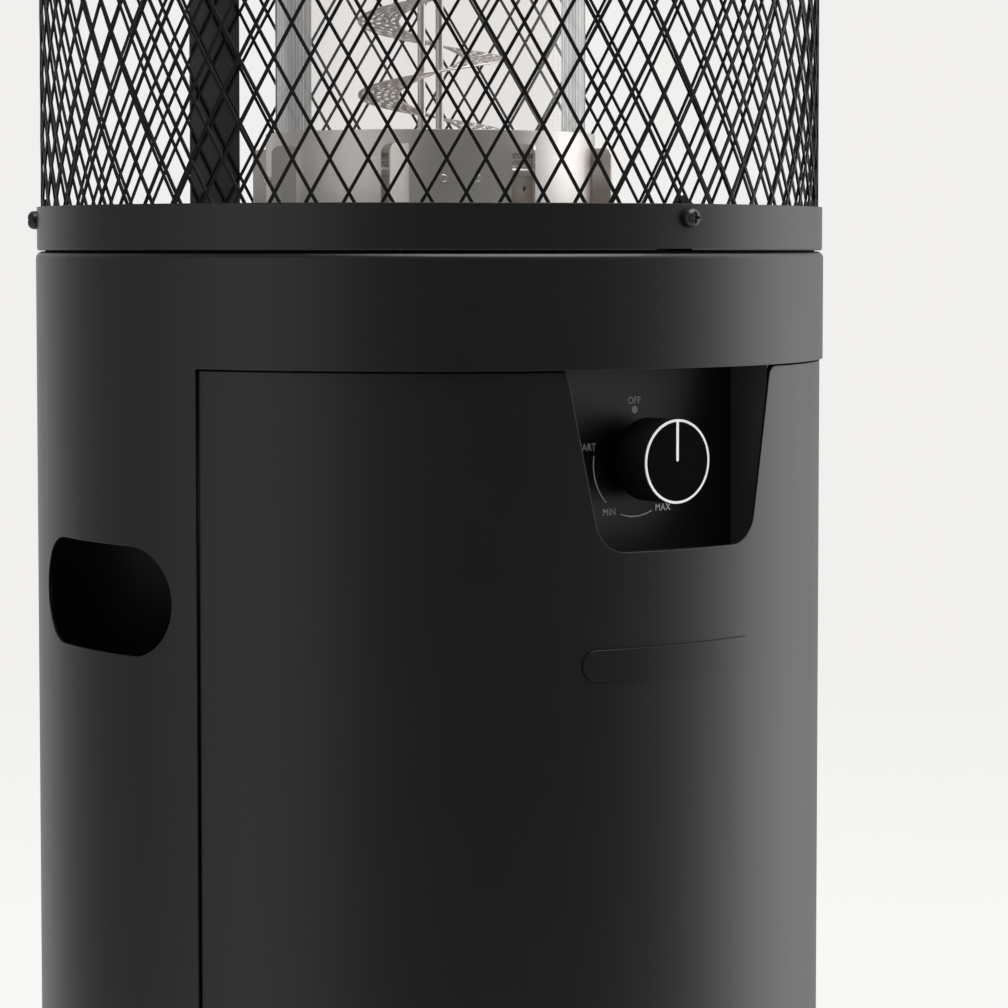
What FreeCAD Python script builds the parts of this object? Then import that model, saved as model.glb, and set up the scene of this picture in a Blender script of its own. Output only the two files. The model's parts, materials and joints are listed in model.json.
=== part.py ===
import FreeCAD, Part
import math
import os
from FreeCAD import Vector

# Gas patio heater: a round sheet-metal cabinet for a gas bottle, with a burner, a glass flame
# tube and a wire guard above it. Millimetres, +Z up, the front faces -Y.
# The origin is at floor level on the heater's axis. Angles are measured from the front,
# positive to the right of someone who faces the heater.

X = Vector(1, 0, 0)
Y = Vector(0, 1, 0)
Z = Vector(0, 0, 1)

# Driving sizes of the cabinet
SHELL_R = 200.0
SHEET = 1.5
SEAT_GAP = 0.3
SHELL_TOP = 801.0
COLLAR_HEIGHT = 53.9
COLLAR_ROUND = 3.6
COLLAR_FLANGE = 17.0
ROUND_SECTORS = 24

# Base
FOOT_HEIGHT = 14.0
FOOT_R = 17.0
FOOT_TAPER = 2.0
FOOT_ANGLES = (-35.0, 35.0, -125.0, 125.0)
BASE_STEP = 3.0
BASE_SHEET = 2.0
BASE_HEIGHT = 46.0
BASE_FLANGE_DEPTH = 39.0
BASE_TOP_FLANGE = 22.0
FOOT_INSET = 18.0
DECK_SHEET = 2.0
DECK_INSET = 0.3
VENT_COUNT = 8
VENT_R = 105.0
VENT_LENGTH = 50.0
VENT_WIDTH = 9.0

# Transport wheels
WHEEL_R = 25.0
WHEEL_WIDTH = 20.0
WHEEL_X = 60.0
WHEEL_AXLE_INSET = 29.0
WHEEL_LIFT = 2.0
TYRE_THICK = 6.0
AXLE_R = 4.0
AXLE_CLEARANCE = 0.06
EAR_THICK = 2.0
EAR_WIDTH = 20.0
EAR_DROP = 10.0
EAR_GAP = 1.5
AXLE_CAP_R = 6.5
AXLE_CAP_LENGTH = 5.0
ARCH_MARGIN = 4.0

# Gas bottle guides
BOTTLE_R = 150.0
BOTTLE_CLEARANCE = 3.0
GUIDE_HEIGHT = 25.0
GUIDE_WIDTH = 44.0
GUIDE_FOOT = 18.0
GUIDE_ANGLES = (30.0, 150.0, 270.0)

# Door
DOOR_STEP = 1.6
DOOR_SHEET = 1.2
DOOR_HALF_ANGLE = 69.0
DOOR_HINGE_GAP = 1.1
DOOR_LATCH_GAP = 0.7
DOOR_TOP_GAP = 0.9
DOOR_BOTTOM_GAP = 1.0
DOOR_FLANGE = 12.0
DOOR_HINGE_TAB = 20.0
DOOR_HINGE_TAB_ANGLE = 60.0
HINGE_ANGLE = 66.7
HINGE_INSET = 5.4
HINGE_PIN_R = 3.0
HINGE_CLEARANCE = 0.06
HINGE_PIN_REACH = 9.0
HINGE_BRACKET_LIFT = 3.0
HINGE_BRACKET_HEIGHT = 26.0
HINGE_BRACKET_HALF_ANGLE = 3.4
STIFFENER_DEPTH = 9.0
STIFFENER_HALF_WIDTH = 22.0
STIFFENER_LIP = 12.0
JAMB_ANGLE = 70.3
JAMB_DEPTH = 12.0
JAMB_LEG = 9.5
CATCH_ANGLES = (-60.0, -34.0)
CATCH_WIDTH = 34.0
CATCH_HEIGHT = 18.0
CATCH_DEPTH = 12.0
CATCH_GAP = 0.2
CATCH_STEP = 4.0

# Notch in the door and the control recess behind it
NOTCH_TOP_HALF = 62.6
NOTCH_BOTTOM_HALF = 45.9
NOTCH_BOTTOM_DROP = 84.1
NOTCH_ROUND = 16.0
NOTCH_LIP_ROUND = 6.0
NOTCH_FLANGE_CLEAR = 13.0
PANEL_INSET = 38.5
PANEL_HALF = 61.4
BOX_SHEET = 1.5
BOX_FLOOR_DROP = 4.0
BOX_CEILING_RISE = 2.0
BOX_DOOR_GAP = 0.6
BOX_TOP_FLANGE = 16.0

# Hand holes in the sides of the shell
HAND_HOLE_LENGTH = 114.0
HAND_HOLE_HEIGHT = 51.8
HAND_HOLE_DROP = 163.8

# Badge plate, left bare
BADGE_LENGTH = 104.0
BADGE_HEIGHT = 14.0
BADGE_THICK = 0.8
BADGE_DROP = 189.2
BADGE_X = -3.4

# Control knob and gas valve
KNOB_R = 19.7
KNOB_LENGTH = 21.5
KNOB_STANDOFF = 9.9
KNOB_DROP = 97.6
KNOB_WALL = 2.2
KNOB_FACE = 3.5
KNOB_HUB_R = 7.0
KNOB_TRAVEL = 4.0
KNOB_TURN = 220.0
INLAY_RING = 1.2
INLAY_BAR = 1.6
INLAY_DEPTH = 0.5
INLAY_CLEARANCE = 0.02
SPINDLE_R = 4.0
SPINDLE_FLAT = 1.0
SPINDLE_CLEARANCE = 0.05
SPINDLE_HOLE_GAP = 0.4
SPINDLE_IN_KNOB = 14.0
SPINDLE_COLLAR_R = 6.5
SPINDLE_COLLAR = 2.0
PLUG_R = 10.0
PLUG_CLEARANCE = 0.05
PLUG_LENGTH = 27.0
PLUG_PLAY = 0.9
PLUG_PORT_R = 2.5
SPRING_ROOM = 7.5
SPINDLE_IN_PLUG = 6.0
SPRING_WIRE_R = 0.3
SPRING_R = 2.5
SPRING_TURNS = 5
VALVE_HALF = 17.0
VALVE_LENGTH = 48.0
VALVE_SCREW_RISE = 13.0
VALVE_SCREW_R = 2.0
VALVE_SCREW_HEAD_R = 3.4
VALVE_SCREW_HEAD = 2.2
INLET_R = 4.5
INLET_LENGTH = 20.0
INLET_NUT_R = 9.0
INLET_NUT = 11.0
INLET_BACK = 28.0

# Burner and gas pipes
TOP_DECK_GAP = 0.6
VENTURI_R = 15.0
VENTURI_WALL = 2.0
VENTURI_DROP = 62.0
VENTURI_FLANGE_R = 30.0
VENTURI_FLANGE = 2.0
VENTURI_WINDOW = 18.0
BURNER_R = 55.0
BURNER_LIFT = 16.0
BURNER_HEIGHT = 23.0
BURNER_WALL = 3.0
BURNER_PORTS = 24
BURNER_PORT_R = 1.6
BURNER_CAP_OVERHANG = 2.0
BURNER_CAP = 4.0
JET_LENGTH = 20.0
JET_HOLE_R = 0.6
SUPPLY_PIPE_R = 5.0
SUPPLY_BEND_R = 22.0
PILOT_PIPE_R = 2.0
PIPE_WALL = 1.0
PIPE_SPACING = 10.0
PILOT_BEND_R = 12.0
PILOT_X = 64.0
PILOT_SPACING = 13.0
PILOT_BRACKET_SHEET = 1.5
PILOT_BRACKET_DEPTH = 14.0
PILOT_BRACKET_LIFT = 8.0
PILOT_TIP_R = 4.0
PILOT_TIP = 12.0
ELECTRODE_R = 3.0
ELECTRODE_TIP_R = 0.8
ELECTRODE_TIP = 9.0
ELECTRODE_TAIL = 24.0
PROBE_R = 1.6
PROBE_LENGTH = 20.0
TILT_LENGTH = 42.0
TILT_WIDTH = 28.0
TILT_HEIGHT = 26.0
TILT_X = 92.0
TILT_Y = 70.0

# Burner shroud and glass
SHROUD_R = 84.0
SHROUD_SHEET = 1.0
SHROUD_TOP_RISE = 59.2
SLOT_COUNT = 8
SLOT_OFFSET = -3.7
SLOT_WIDTH = 13.0
SLOT_FOOT_RISE = 11.0
SLOT_TOP_RISE = 52.2
SLOT_ROUND = 4.4
FLAP_LENGTH = 12.2
FLAP_TURN = 55.0
GLASS_R = 79.0
GLASS_WALL = 5.0
GLASS_LENGTH = 435.0
GASKET_THICK = 2.5
GASKET_OVERHANG = 1.5
CLIP_SHEET = 1.5
CLIP_ANGLES = (-26.6, 108.8, -116.2)
CLIP_WIDTH = 30.0
CLIP_LEG = 20.0
CLIP_SEAT_RISE = 45.5
CLIP_REACH = 15.0
RIVET_R = 1.0
RIVET_HEAD_R = 1.8
RIVET_HEAD = 0.6
RIVET_SPACING = 16.5
RIVET_RISE = 35.5

# Spiral baffle
SPIRAL_OUTER_R = 37.0
SPIRAL_INNER_R = 16.0
SPIRAL_SHEET = 1.0
SPIRAL_PITCH = 37.4
SPIRAL_TURNS = 10
SPIRAL_LIFT = 12.0
SPIRAL_START = -26.4
SPIRAL_ROD_R = 2.0
SPIRAL_ROD_ANGLE = -17.3
SPIRAL_ROD_TAIL = 14.0

# Guard
RING_STEP = 0.6
RING_HEIGHT = 21.7
RING_FLANGE = 17.0
RING_GAP = 0.4
RING_NOTCH_WIDTH = 21.0
RING_NOTCH_HEIGHT = 0.9
RING_NOTCH_DEPTH = 10.0
RING_NOTCH_TURN = -2.5
RING_BEND = 1.2
MESH_STEP = 2.0
MESH_THICK = 1.0
MESH_SECTORS = 14
DIAMONDS_PER_SECTOR = 5
MESH_TURN = 1.6
DIAMOND_HEIGHT = 30.6
STRAND_WIDTH = 1.5
MESH_LAP = 10.9
MESH_BAND = 6.0
MESH_SCREW_CLEARANCE = 0.3
LUG_WIDTH = 21.0
LUG_THICK = 2.0
LUG_DROP = 18.0
LUG_SHOULDER = 3.2
LUG_TIP_WIDTH = 10.3
LUG_TIP_RISE = 4.0
GUARD_SCREW_ANGLES = (0.35, 120.35, 240.35)
GUARD_SCREW_DROP = 6.5
GUARD_SCREW_HEAD = 4.5
M5_R = 2.5
M5_HEAD_R = 4.6
M5_HEAD = 3.0
M5_HOLE_GAP = 0.25
M5_NUT_R = 4.6
M5_NUT = 4.0
CROSS_WIDTH = 1.1
CROSS_LENGTH = 5.4
CROSS_DEPTH = 1.6
DECK_SCREW_ANGLES = (30.0, 90.0, 150.0, 210.0, 270.0, 330.0)
STRAP_WIDTH = 32.4
STRAP_SHEET = 1.5
STRAP_ANGLE = 181.15

# Glass head and cap
GUARD_ABOVE_GLASS = 29.0
COLLAR_RING_GAP = 3.0
GLASS_RING_SHEET = 1.5
GLASS_RING_LAP = 16.0
ARM_WIDTH = 16.0
ARM_SHEET = 2.0
ARM_ANGLES = (45.0, 135.0, 225.0, 315.0)
CAP_OVERHANG = 12.0
CAP_SHEET = 1.5
CAP_GAP = 40.0
CAP_RIM = 12.0
CAP_ROUND = 6.0
CAP_FLAT = 42.0
CAP_RISE = 14.0
CAP_CROWN_FLAT = 20.0
POST_INSET = 10.4
SPACER_R = 7.0
CAP_SCREW_R = 3.0
CAP_NUT_R = 6.0
CAP_NUT = 5.0
CAP_HEAD_R = 6.5
CAP_HEAD = 5.0

# Places worked out from the driving sizes
SHELL_INNER_R = SHELL_R - SHEET
BASE_R = SHELL_R + BASE_STEP
BASE_INNER_R = BASE_R - BASE_SHEET
BASE_TOP = FOOT_HEIGHT + BASE_HEIGHT
BASE_FLANGE_R = BASE_R - BASE_FLANGE_DEPTH
BOTTLE_DECK_TOP = BASE_TOP + DECK_SHEET
BOTTLE_DECK_R = SHELL_INNER_R - DECK_INSET
COLLAR_BOTTOM = SHELL_TOP - COLLAR_HEIGHT
COLLAR_INNER_R = SHELL_R - COLLAR_FLANGE
COLLAR_INNER_ROUND = max(COLLAR_ROUND - SHEET, 0.2)
COLLAR_TURN_R = SHELL_INNER_R - COLLAR_INNER_ROUND
TOP_DECK_TOP = SHELL_TOP - SHEET
TOP_DECK_UNDER = TOP_DECK_TOP - SHEET
TOP_DECK_R = COLLAR_TURN_R - TOP_DECK_GAP

WHEEL_AXLE_Y = BASE_R - WHEEL_AXLE_INSET
AXLE_Z = WHEEL_R + WHEEL_LIFT
WHEEL_HALF = WHEEL_WIDTH / 2.0
EAR_INNER = WHEEL_HALF + EAR_GAP
EAR_OUTER = EAR_INNER + EAR_THICK
AXLE_HALF = WHEEL_X + EAR_OUTER + 1.0

DOOR_R = SHELL_R - DOOR_STEP
DOOR_INNER_R = DOOR_R - DOOR_SHEET
DOOR_BOTTOM = BOTTLE_DECK_TOP + DOOR_BOTTOM_GAP
DOOR_TOP = COLLAR_BOTTOM - DOOR_TOP_GAP
HINGE_EDGE_ANGLE = DOOR_HALF_ANGLE + math.degrees(DOOR_HINGE_GAP / SHELL_R)
LATCH_EDGE_ANGLE = DOOR_HALF_ANGLE + math.degrees(DOOR_LATCH_GAP / SHELL_R)
HINGE_R = DOOR_R - HINGE_INSET

BOX_R = DOOR_INNER_R - BOX_DOOR_GAP
BOX_FLOOR = COLLAR_BOTTOM - NOTCH_BOTTOM_DROP - BOX_FLOOR_DROP
BOX_CEILING = COLLAR_BOTTOM + BOX_CEILING_RISE
PANEL_Y = SHELL_R - PANEL_INSET
PANEL_BACK = PANEL_Y - BOX_SHEET

KNOB_Z = SHELL_TOP - KNOB_DROP
KNOB_BACK = PANEL_Y + KNOB_STANDOFF
KNOB_FRONT = KNOB_BACK + KNOB_LENGTH
PLUG_FRONT = PANEL_BACK - SPINDLE_COLLAR - KNOB_TRAVEL - PLUG_PLAY
PLUG_END = PLUG_FRONT - PLUG_LENGTH
SPINDLE_END = PLUG_FRONT - SPINDLE_IN_PLUG
SOCKET_END = SPINDLE_END - SPRING_ROOM
VALVE_END = PANEL_BACK - VALVE_LENGTH
INLET_Y = PANEL_BACK - INLET_BACK

VENTURI_BOTTOM = TOP_DECK_TOP - VENTURI_DROP
BURNER_BOTTOM = TOP_DECK_TOP + BURNER_LIFT
BURNER_TOP = BURNER_BOTTOM + BURNER_HEIGHT
BURNER_CAP_TOP = BURNER_TOP + BURNER_CAP
SHROUD_TOP = SHELL_TOP + SHROUD_TOP_RISE
GLASS_SEAT = SHELL_TOP + CLIP_SEAT_RISE
GLASS_BOTTOM = GLASS_SEAT + GASKET_THICK
GLASS_TOP = GLASS_BOTTOM + GLASS_LENGTH
GLASS_INNER_R = GLASS_R - GLASS_WALL

RING_R = SHELL_R - RING_STEP
RING_INNER_R = RING_R - SHEET
RING_BOTTOM = SHELL_TOP + RING_GAP
RING_TOP = RING_BOTTOM + RING_HEIGHT
MESH_R = RING_INNER_R - (MESH_STEP - SHEET)
MESH_INNER_R = MESH_R - MESH_THICK
MESH_FIRST_ROW = RING_TOP - MESH_LAP
UPPER_RING_TOP = GLASS_TOP + GUARD_ABOVE_GLASS
UPPER_RING_BOTTOM = UPPER_RING_TOP - RING_HEIGHT
MESH_LAST_ROW = UPPER_RING_BOTTOM + MESH_LAP
DIAMOND_ROWS = round((MESH_LAST_ROW - MESH_FIRST_ROW) / DIAMOND_HEIGHT)
ROW_HEIGHT = (MESH_LAST_ROW - MESH_FIRST_ROW) / DIAMOND_ROWS
ARM_TOP = UPPER_RING_TOP - SHEET
FLANGE_MIDDLE_R = RING_R - RING_FLANGE / 2.0
POST_CIRCLE_R = RING_INNER_R - POST_INSET
CAP_UNDER = UPPER_RING_TOP + CAP_GAP
CAP_R = SHELL_R + CAP_OVERHANG
GLASS_RING_R = GLASS_R + COLLAR_RING_GAP
COLUMN_STEP = 360.0 / (MESH_SECTORS * DIAMONDS_PER_SECTOR * 2)


def polar(radius, angle, height=0.0):
    """Point at a radius and an angle from the front."""
    turn = math.radians(angle)
    return Vector(radius * math.sin(turn), -radius * math.cos(turn), height)


def turned(shape, angle):
    """Copy of a shape made at the front, turned to an angle."""
    copy = shape.copy()
    copy.rotate(Vector(0, 0, 0), Z, angle)
    return copy


def around(shape, angles):
    """Compound of copies of a front shape at several angles."""
    return Part.makeCompound([turned(shape, angle) for angle in angles])


def block(x0, x1, y0, y1, z0, z1):
    """Box between two corners."""
    return Part.makeBox(x1 - x0, y1 - y0, z1 - z0, Vector(x0, y0, z0))


def disc(radius, z0, z1):
    """Upright cylinder on the heater's axis."""
    return Part.makeCylinder(radius, z1 - z0, Vector(0, 0, z0), Z)


def ring(inner, outer, z0, z1):
    """Upright ring on the heater's axis."""
    return disc(outer, z0, z1).cut(disc(inner, z0 - 1.0, z1 + 1.0))


def arc_wall(inner, outer, z0, z1, a0, a1):
    """Part of an upright ring between two angles from the front."""
    sector = Part.makeCylinder(outer, z1 - z0, Vector(0, 0, z0), Z, a1 - a0)
    sector.rotate(Vector(0, 0, 0), Z, a0 - 90.0)
    return sector.cut(disc(inner, z0 - 1.0, z1 + 1.0))


def post(radius, centre, z0, z1):
    """Upright cylinder at a point."""
    return Part.makeCylinder(radius, z1 - z0, Vector(centre.x, centre.y, z0), Z)


def front_rod(radius, depth0, depth1, x=0.0, z=0.0):
    """Cylinder along Y, between two distances in front of the axis."""
    return Part.makeCylinder(radius, depth1 - depth0, Vector(x, -depth1, z), Y)


def side_rod(radius, x0, x1, y, z):
    """Cylinder along X."""
    return Part.makeCylinder(radius, x1 - x0, Vector(x0, y, z), X)


def joined(shapes):
    """One solid from shapes that touch or overlap."""
    whole = shapes[0].fuse(shapes[1:])
    return whole.removeSplitter()


def revolved(points, sectors=1):
    """Solid of revolution about the axis. A point with a third value is the middle of an arc."""
    edges = []
    start = points[0]
    middle = None
    for point in points[1:] + points[:1]:
        if len(point) == 3:
            middle = point
            continue
        a = Vector(start[0], 0, start[1])
        b = Vector(point[0], 0, point[1])
        if middle:
            edges.append(Part.Arc(a, Vector(middle[0], 0, middle[1]), b).toShape())
        else:
            edges.append(Part.makeLine(a, b))
        start = point
        middle = None
    profile = Part.Face(Part.Wire(edges))
    step = 360.0 / sectors
    parts = [turned(profile, step * (i + 0.5)).revolve(Vector(0, 0, 0), Z, step) for i in range(sectors)]
    return parts[0].fuse(parts[1:]) if sectors > 1 else parts[0]


def largest(shape):
    """Largest solid of a shape that a cut may have left in pieces."""
    return max(shape.Solids, key=lambda solid: solid.Volume)


def round_corner(radius):
    """How far the middle of a quarter round lies inside its corner."""
    return radius * (1.0 - math.sqrt(0.5))


def stadium(length, height, y0, y1, x, z):
    """Prism along Y with a stadium outline in X and Z."""
    end = height / 2.0
    half = length / 2.0 - end
    bar = block(x - half, x + half, y0, y1, z - end, z + end)
    left = Part.makeCylinder(end, y1 - y0, Vector(x - half, y0, z), Y)
    right = Part.makeCylinder(end, y1 - y0, Vector(x + half, y0, z), Y)
    return joined([bar, left, right])


def pan_screw(radius, length, head_r, head):
    """Cross-head screw along Y at the origin, its head in front of Y = 0."""
    shank = front_rod(radius, -length, 0.0)
    cap = front_rod(head_r, 0.0, head)
    rim = [edge for edge in cap.Edges if abs(edge.BoundBox.YMax + head) < 1e-6]
    cap = cap.makeFillet(head * 0.7, rim)
    screw = joined([shank, cap])
    half = CROSS_LENGTH / 2.0
    slot = block(-half, half, -head - 1.0, CROSS_DEPTH - head, -CROSS_WIDTH / 2.0, CROSS_WIDTH / 2.0)
    other = slot.copy()
    other.rotate(Vector(0, 0, 0), Y, 90)
    return screw.cut([slot, other])


def hex_prism(flat_r, z0, z1, centre):
    """Upright hexagon; flat_r is half the width across its flats."""
    corner = flat_r / math.cos(math.radians(30))
    points = []
    for i in range(7):
        turn = math.radians(60 * i)
        points.append(centre + Vector(corner * math.cos(turn), corner * math.sin(turn), z0))
    return Part.Face(Part.makePolygon(points)).extrude(Vector(0, 0, z1 - z0))


def bent_pipe(radius, points, bend_r):
    """Round pipe along straight runs that tangent arcs join."""
    edges = []
    start = points[0]
    for corner, after in zip(points[1:-1], points[2:]):
        before = (corner - start).normalize()
        onward = (after - corner).normalize()
        turn = before.getAngle(onward)
        reach = bend_r * math.tan(turn / 2.0)
        a = corner - before * reach
        b = corner + onward * reach
        inward = (onward - before).normalize()
        middle = corner + inward * (bend_r / math.cos(turn / 2.0) - bend_r)
        edges.append(Part.makeLine(start, a))
        edges.append(Part.Arc(a, middle, b).toShape())
        start = b
    edges.append(Part.makeLine(start, points[-1]))
    path = Part.Wire(edges)
    direction = (points[1] - points[0]).normalize()
    profile = Part.Wire(Part.makeCircle(radius, points[0], direction))
    return path.makePipeShell([profile], True, True)


def hollow_pipe(radius, points, bend_r):
    """Bent pipe with a bore."""
    return bent_pipe(radius, points, bend_r).cut(bent_pipe(radius - PIPE_WALL, points, bend_r))


def base_drum():
    """Plinth: wall, bottom flange for the feet, top flange for the cabinet, wheel arches."""
    wall = ring(BASE_INNER_R, BASE_R, FOOT_HEIGHT, BASE_TOP)
    bottom = ring(BASE_FLANGE_R, BASE_R, FOOT_HEIGHT, FOOT_HEIGHT + BASE_SHEET)
    top = ring(BASE_R - BASE_TOP_FLANGE, BASE_R, BASE_TOP - BASE_SHEET, BASE_TOP)
    drum = joined([wall, bottom, top])
    arch_top = AXLE_Z + WHEEL_R + ARCH_MARGIN
    arch_half = EAR_OUTER + ARCH_MARGIN
    cuts = []
    for side in (-1, 1):
        x = side * WHEEL_X
        low = FOOT_HEIGHT - 1.0
        cuts.append(block(x - arch_half, x + arch_half, WHEEL_AXLE_Y - WHEEL_R, BASE_R, low, arch_top))
    inner = WHEEL_X + arch_half
    flange_top = FOOT_HEIGHT + BASE_SHEET
    flange_back = math.sqrt(BASE_INNER_R ** 2 - inner ** 2)
    cuts.append(block(-inner, inner, WHEEL_AXLE_Y - WHEEL_R, flange_back, FOOT_HEIGHT - 1.0, flange_top))
    return drum.cut(cuts)


def bottle_deck():
    """Plate that the gas bottle stands on, with vent slots and the bottom hinge hole."""
    plate = disc(BOTTLE_DECK_R, BASE_TOP, BOTTLE_DECK_TOP)
    half = VENT_LENGTH / 2.0
    slot = block(-VENT_WIDTH / 2.0, VENT_WIDTH / 2.0, -VENT_R - half, half - VENT_R, 0.0, SHELL_TOP)
    slots = [turned(slot, 360.0 * i / VENT_COUNT) for i in range(VENT_COUNT)]
    hole = post(HINGE_PIN_R, polar(HINGE_R, HINGE_ANGLE), BASE_TOP - 1.0, BOTTLE_DECK_TOP + 1.0)
    return plate.cut(slots + [hole])


def rubber_feet():
    """Four tapered feet under the bottom flange."""
    radius = BASE_R - FOOT_INSET - BASE_SHEET
    foot = Part.makeCone(FOOT_R - FOOT_TAPER, FOOT_R, FOOT_HEIGHT, polar(radius, 0.0), Z)
    return around(foot, FOOT_ANGLES)


def axle_brackets():
    """A bent strap with two ears over each wheel, under the top of the base."""
    web_top = BASE_TOP - BASE_SHEET
    y0 = WHEEL_AXLE_Y - EAR_WIDTH / 2.0
    y1 = WHEEL_AXLE_Y + EAR_WIDTH / 2.0
    low = AXLE_Z - EAR_DROP
    brackets = []
    for side in (-1, 1):
        x = side * WHEEL_X
        web = block(x - EAR_OUTER, x + EAR_OUTER, y0, y1, web_top - EAR_THICK, web_top)
        ears = []
        for face in (-1, 1):
            inner = x + face * EAR_INNER
            outer = x + face * EAR_OUTER
            ears.append(block(min(inner, outer), max(inner, outer), y0, y1, low, web_top))
        hole = side_rod(AXLE_R + AXLE_CLEARANCE, x - EAR_OUTER - 1, x + EAR_OUTER + 1, WHEEL_AXLE_Y, AXLE_Z)
        brackets.append(joined([web] + ears).cut(hole))
    return Part.makeCompound(brackets)


def wheel_axle():
    """Steel rod through both wheels."""
    return side_rod(AXLE_R, -AXLE_HALF, AXLE_HALF, WHEEL_AXLE_Y, AXLE_Z)


def axle_caps():
    """Push-on caps at the ends of the axle."""
    caps = []
    for side in (-1, 1):
        inner = side * (WHEEL_X + EAR_OUTER)
        outer = inner + side * AXLE_CAP_LENGTH
        low = min(inner, outer)
        cap = side_rod(AXLE_CAP_R, low, low + AXLE_CAP_LENGTH, WHEEL_AXLE_Y, AXLE_Z)
        caps.append(cap.cut(wheel_axle()))
    return Part.makeCompound(caps)


def wheel_hub(side):
    """Plastic wheel centre with a sunk web on both faces."""
    x = side * WHEEL_X
    rim_r = WHEEL_R - TYRE_THICK
    hub = side_rod(rim_r, x - WHEEL_HALF, x + WHEEL_HALF, WHEEL_AXLE_Y, AXLE_Z)
    bore = side_rod(AXLE_R + AXLE_CLEARANCE, x - WHEEL_WIDTH, x + WHEEL_WIDTH, WHEEL_AXLE_Y, AXLE_Z)
    boss_r = AXLE_R + TYRE_THICK / 2.0
    sink = WHEEL_WIDTH / 4.0
    cuts = [bore]
    for face in (-1, 1):
        inner = x + face * (WHEEL_HALF - sink)
        low = min(inner, inner + face * sink)
        groove = side_rod(rim_r - EAR_THICK, low, low + sink, WHEEL_AXLE_Y, AXLE_Z)
        boss = side_rod(boss_r, low - 1, low + sink + 1, WHEEL_AXLE_Y, AXLE_Z)
        cuts.append(groove.cut(boss))
    return hub.cut(cuts)


def wheel_tyre(side):
    """Rubber tread pressed over the hub."""
    x = side * WHEEL_X
    tyre = side_rod(WHEEL_R, x - WHEEL_HALF, x + WHEEL_HALF, WHEEL_AXLE_Y, AXLE_Z)
    tyre = tyre.makeFillet(TYRE_THICK / 3.0, [e for e in tyre.Edges if e.Length > WHEEL_R * 4])
    core = side_rod(WHEEL_R - TYRE_THICK, x - WHEEL_WIDTH, x + WHEEL_WIDTH, WHEEL_AXLE_Y, AXLE_Z)
    return tyre.cut(core)


def bottle_guides():
    """Angle pieces that centre the gas bottle on its deck."""
    inner = BOTTLE_R + BOTTLE_CLEARANCE
    half = math.degrees(GUIDE_WIDTH / inner / 2.0)
    top = BOTTLE_DECK_TOP + GUIDE_HEIGHT
    wall = arc_wall(inner, inner + DECK_SHEET, BOTTLE_DECK_TOP, top, -half, half)
    foot_top = BOTTLE_DECK_TOP + DECK_SHEET
    foot = arc_wall(inner, inner + GUIDE_FOOT, BOTTLE_DECK_TOP, foot_top, -half, half)
    return around(joined([wall, foot]), GUIDE_ANGLES)


def hand_hole(side):
    """Cutter for one hand hole."""
    z = SHELL_TOP - HAND_HOLE_DROP
    hole = stadium(HAND_HOLE_LENGTH, HAND_HOLE_HEIGHT, -SHELL_R * 1.2, -SHELL_R * 0.8, 0.0, z)
    return turned(hole, side * 90.0)


def body_shell():
    """Rolled cabinet sheet with its rounded top edge, open at the front for the door."""
    top = SHELL_TOP
    turn = COLLAR_ROUND
    inner_turn = COLLAR_INNER_ROUND
    out_mid = (SHELL_R - round_corner(turn), top - round_corner(turn), "arc")
    in_corner_r = SHELL_INNER_R - round_corner(inner_turn)
    in_mid = (in_corner_r, top - SHEET - round_corner(inner_turn), "arc")
    wall = ring(SHELL_INNER_R, SHELL_R, BASE_TOP, top - turn)
    flange = ring(COLLAR_INNER_R, COLLAR_TURN_R, top - SHEET, top)
    bend = revolved([
        (SHELL_R, top - turn),
        out_mid,
        (COLLAR_TURN_R, top),
        (COLLAR_TURN_R, top - SHEET),
        in_mid,
        (SHELL_INNER_R, top - turn),
    ], ROUND_SECTORS)
    shell = wall.fuse([flange, bend])
    left = -LATCH_EDGE_ANGLE
    right = HINGE_EDGE_ANGLE
    doorway = arc_wall(SHELL_INNER_R - 1, SHELL_R + 1, BASE_TOP - 1, COLLAR_BOTTOM, left, right)
    return shell.cut([doorway, hand_hole(-1), hand_hole(1)] + deck_screw_holes())


def deck_screw_holes():
    """Clearance holes for the upright screws through ring, gasket, flange and deck."""
    hole = post(M5_R + M5_HOLE_GAP, polar(FLANGE_MIDDLE_R, 0.0), TOP_DECK_UNDER - 1.0, RING_TOP)
    return [turned(hole, angle) for angle in DECK_SCREW_ANGLES]


def top_deck():
    """Plate under the rolled edge that carries the burner."""
    plate = disc(TOP_DECK_R, TOP_DECK_UNDER, TOP_DECK_TOP)
    low = TOP_DECK_UNDER - 1.0
    high = TOP_DECK_TOP + 1.0
    cuts = [disc(VENTURI_R + M5_HOLE_GAP, low, high)]
    for offset in (-1, 0, 1):
        centre = Vector(PILOT_X, offset * PILOT_SPACING, 0)
        cuts.append(post(ELECTRODE_R + 1.0, centre, low, high))
    return plate.cut(cuts + deck_screw_holes())


def door_jambs():
    """Angle stiffeners behind the two edges of the doorway."""
    leg = math.degrees(JAMB_LEG / SHELL_R)
    skin = math.degrees(SHEET / SHELL_R)
    low = BOTTLE_DECK_TOP
    high = COLLAR_BOTTOM + COLLAR_HEIGHT / 2.0
    outer = SHELL_INNER_R - SEAT_GAP
    jambs = []
    for side in (-1, 1):
        near = side * JAMB_ANGLE
        far = side * (JAMB_ANGLE + leg)
        thin = side * (JAMB_ANGLE + leg - skin)
        face = arc_wall(outer - SHEET, outer, low, high, min(near, far), max(near, far))
        fin = arc_wall(outer - JAMB_DEPTH, outer, low, high, min(thin, far), max(thin, far))
        jambs.append(joined([face, fin]))
    return Part.makeCompound(jambs)


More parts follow.
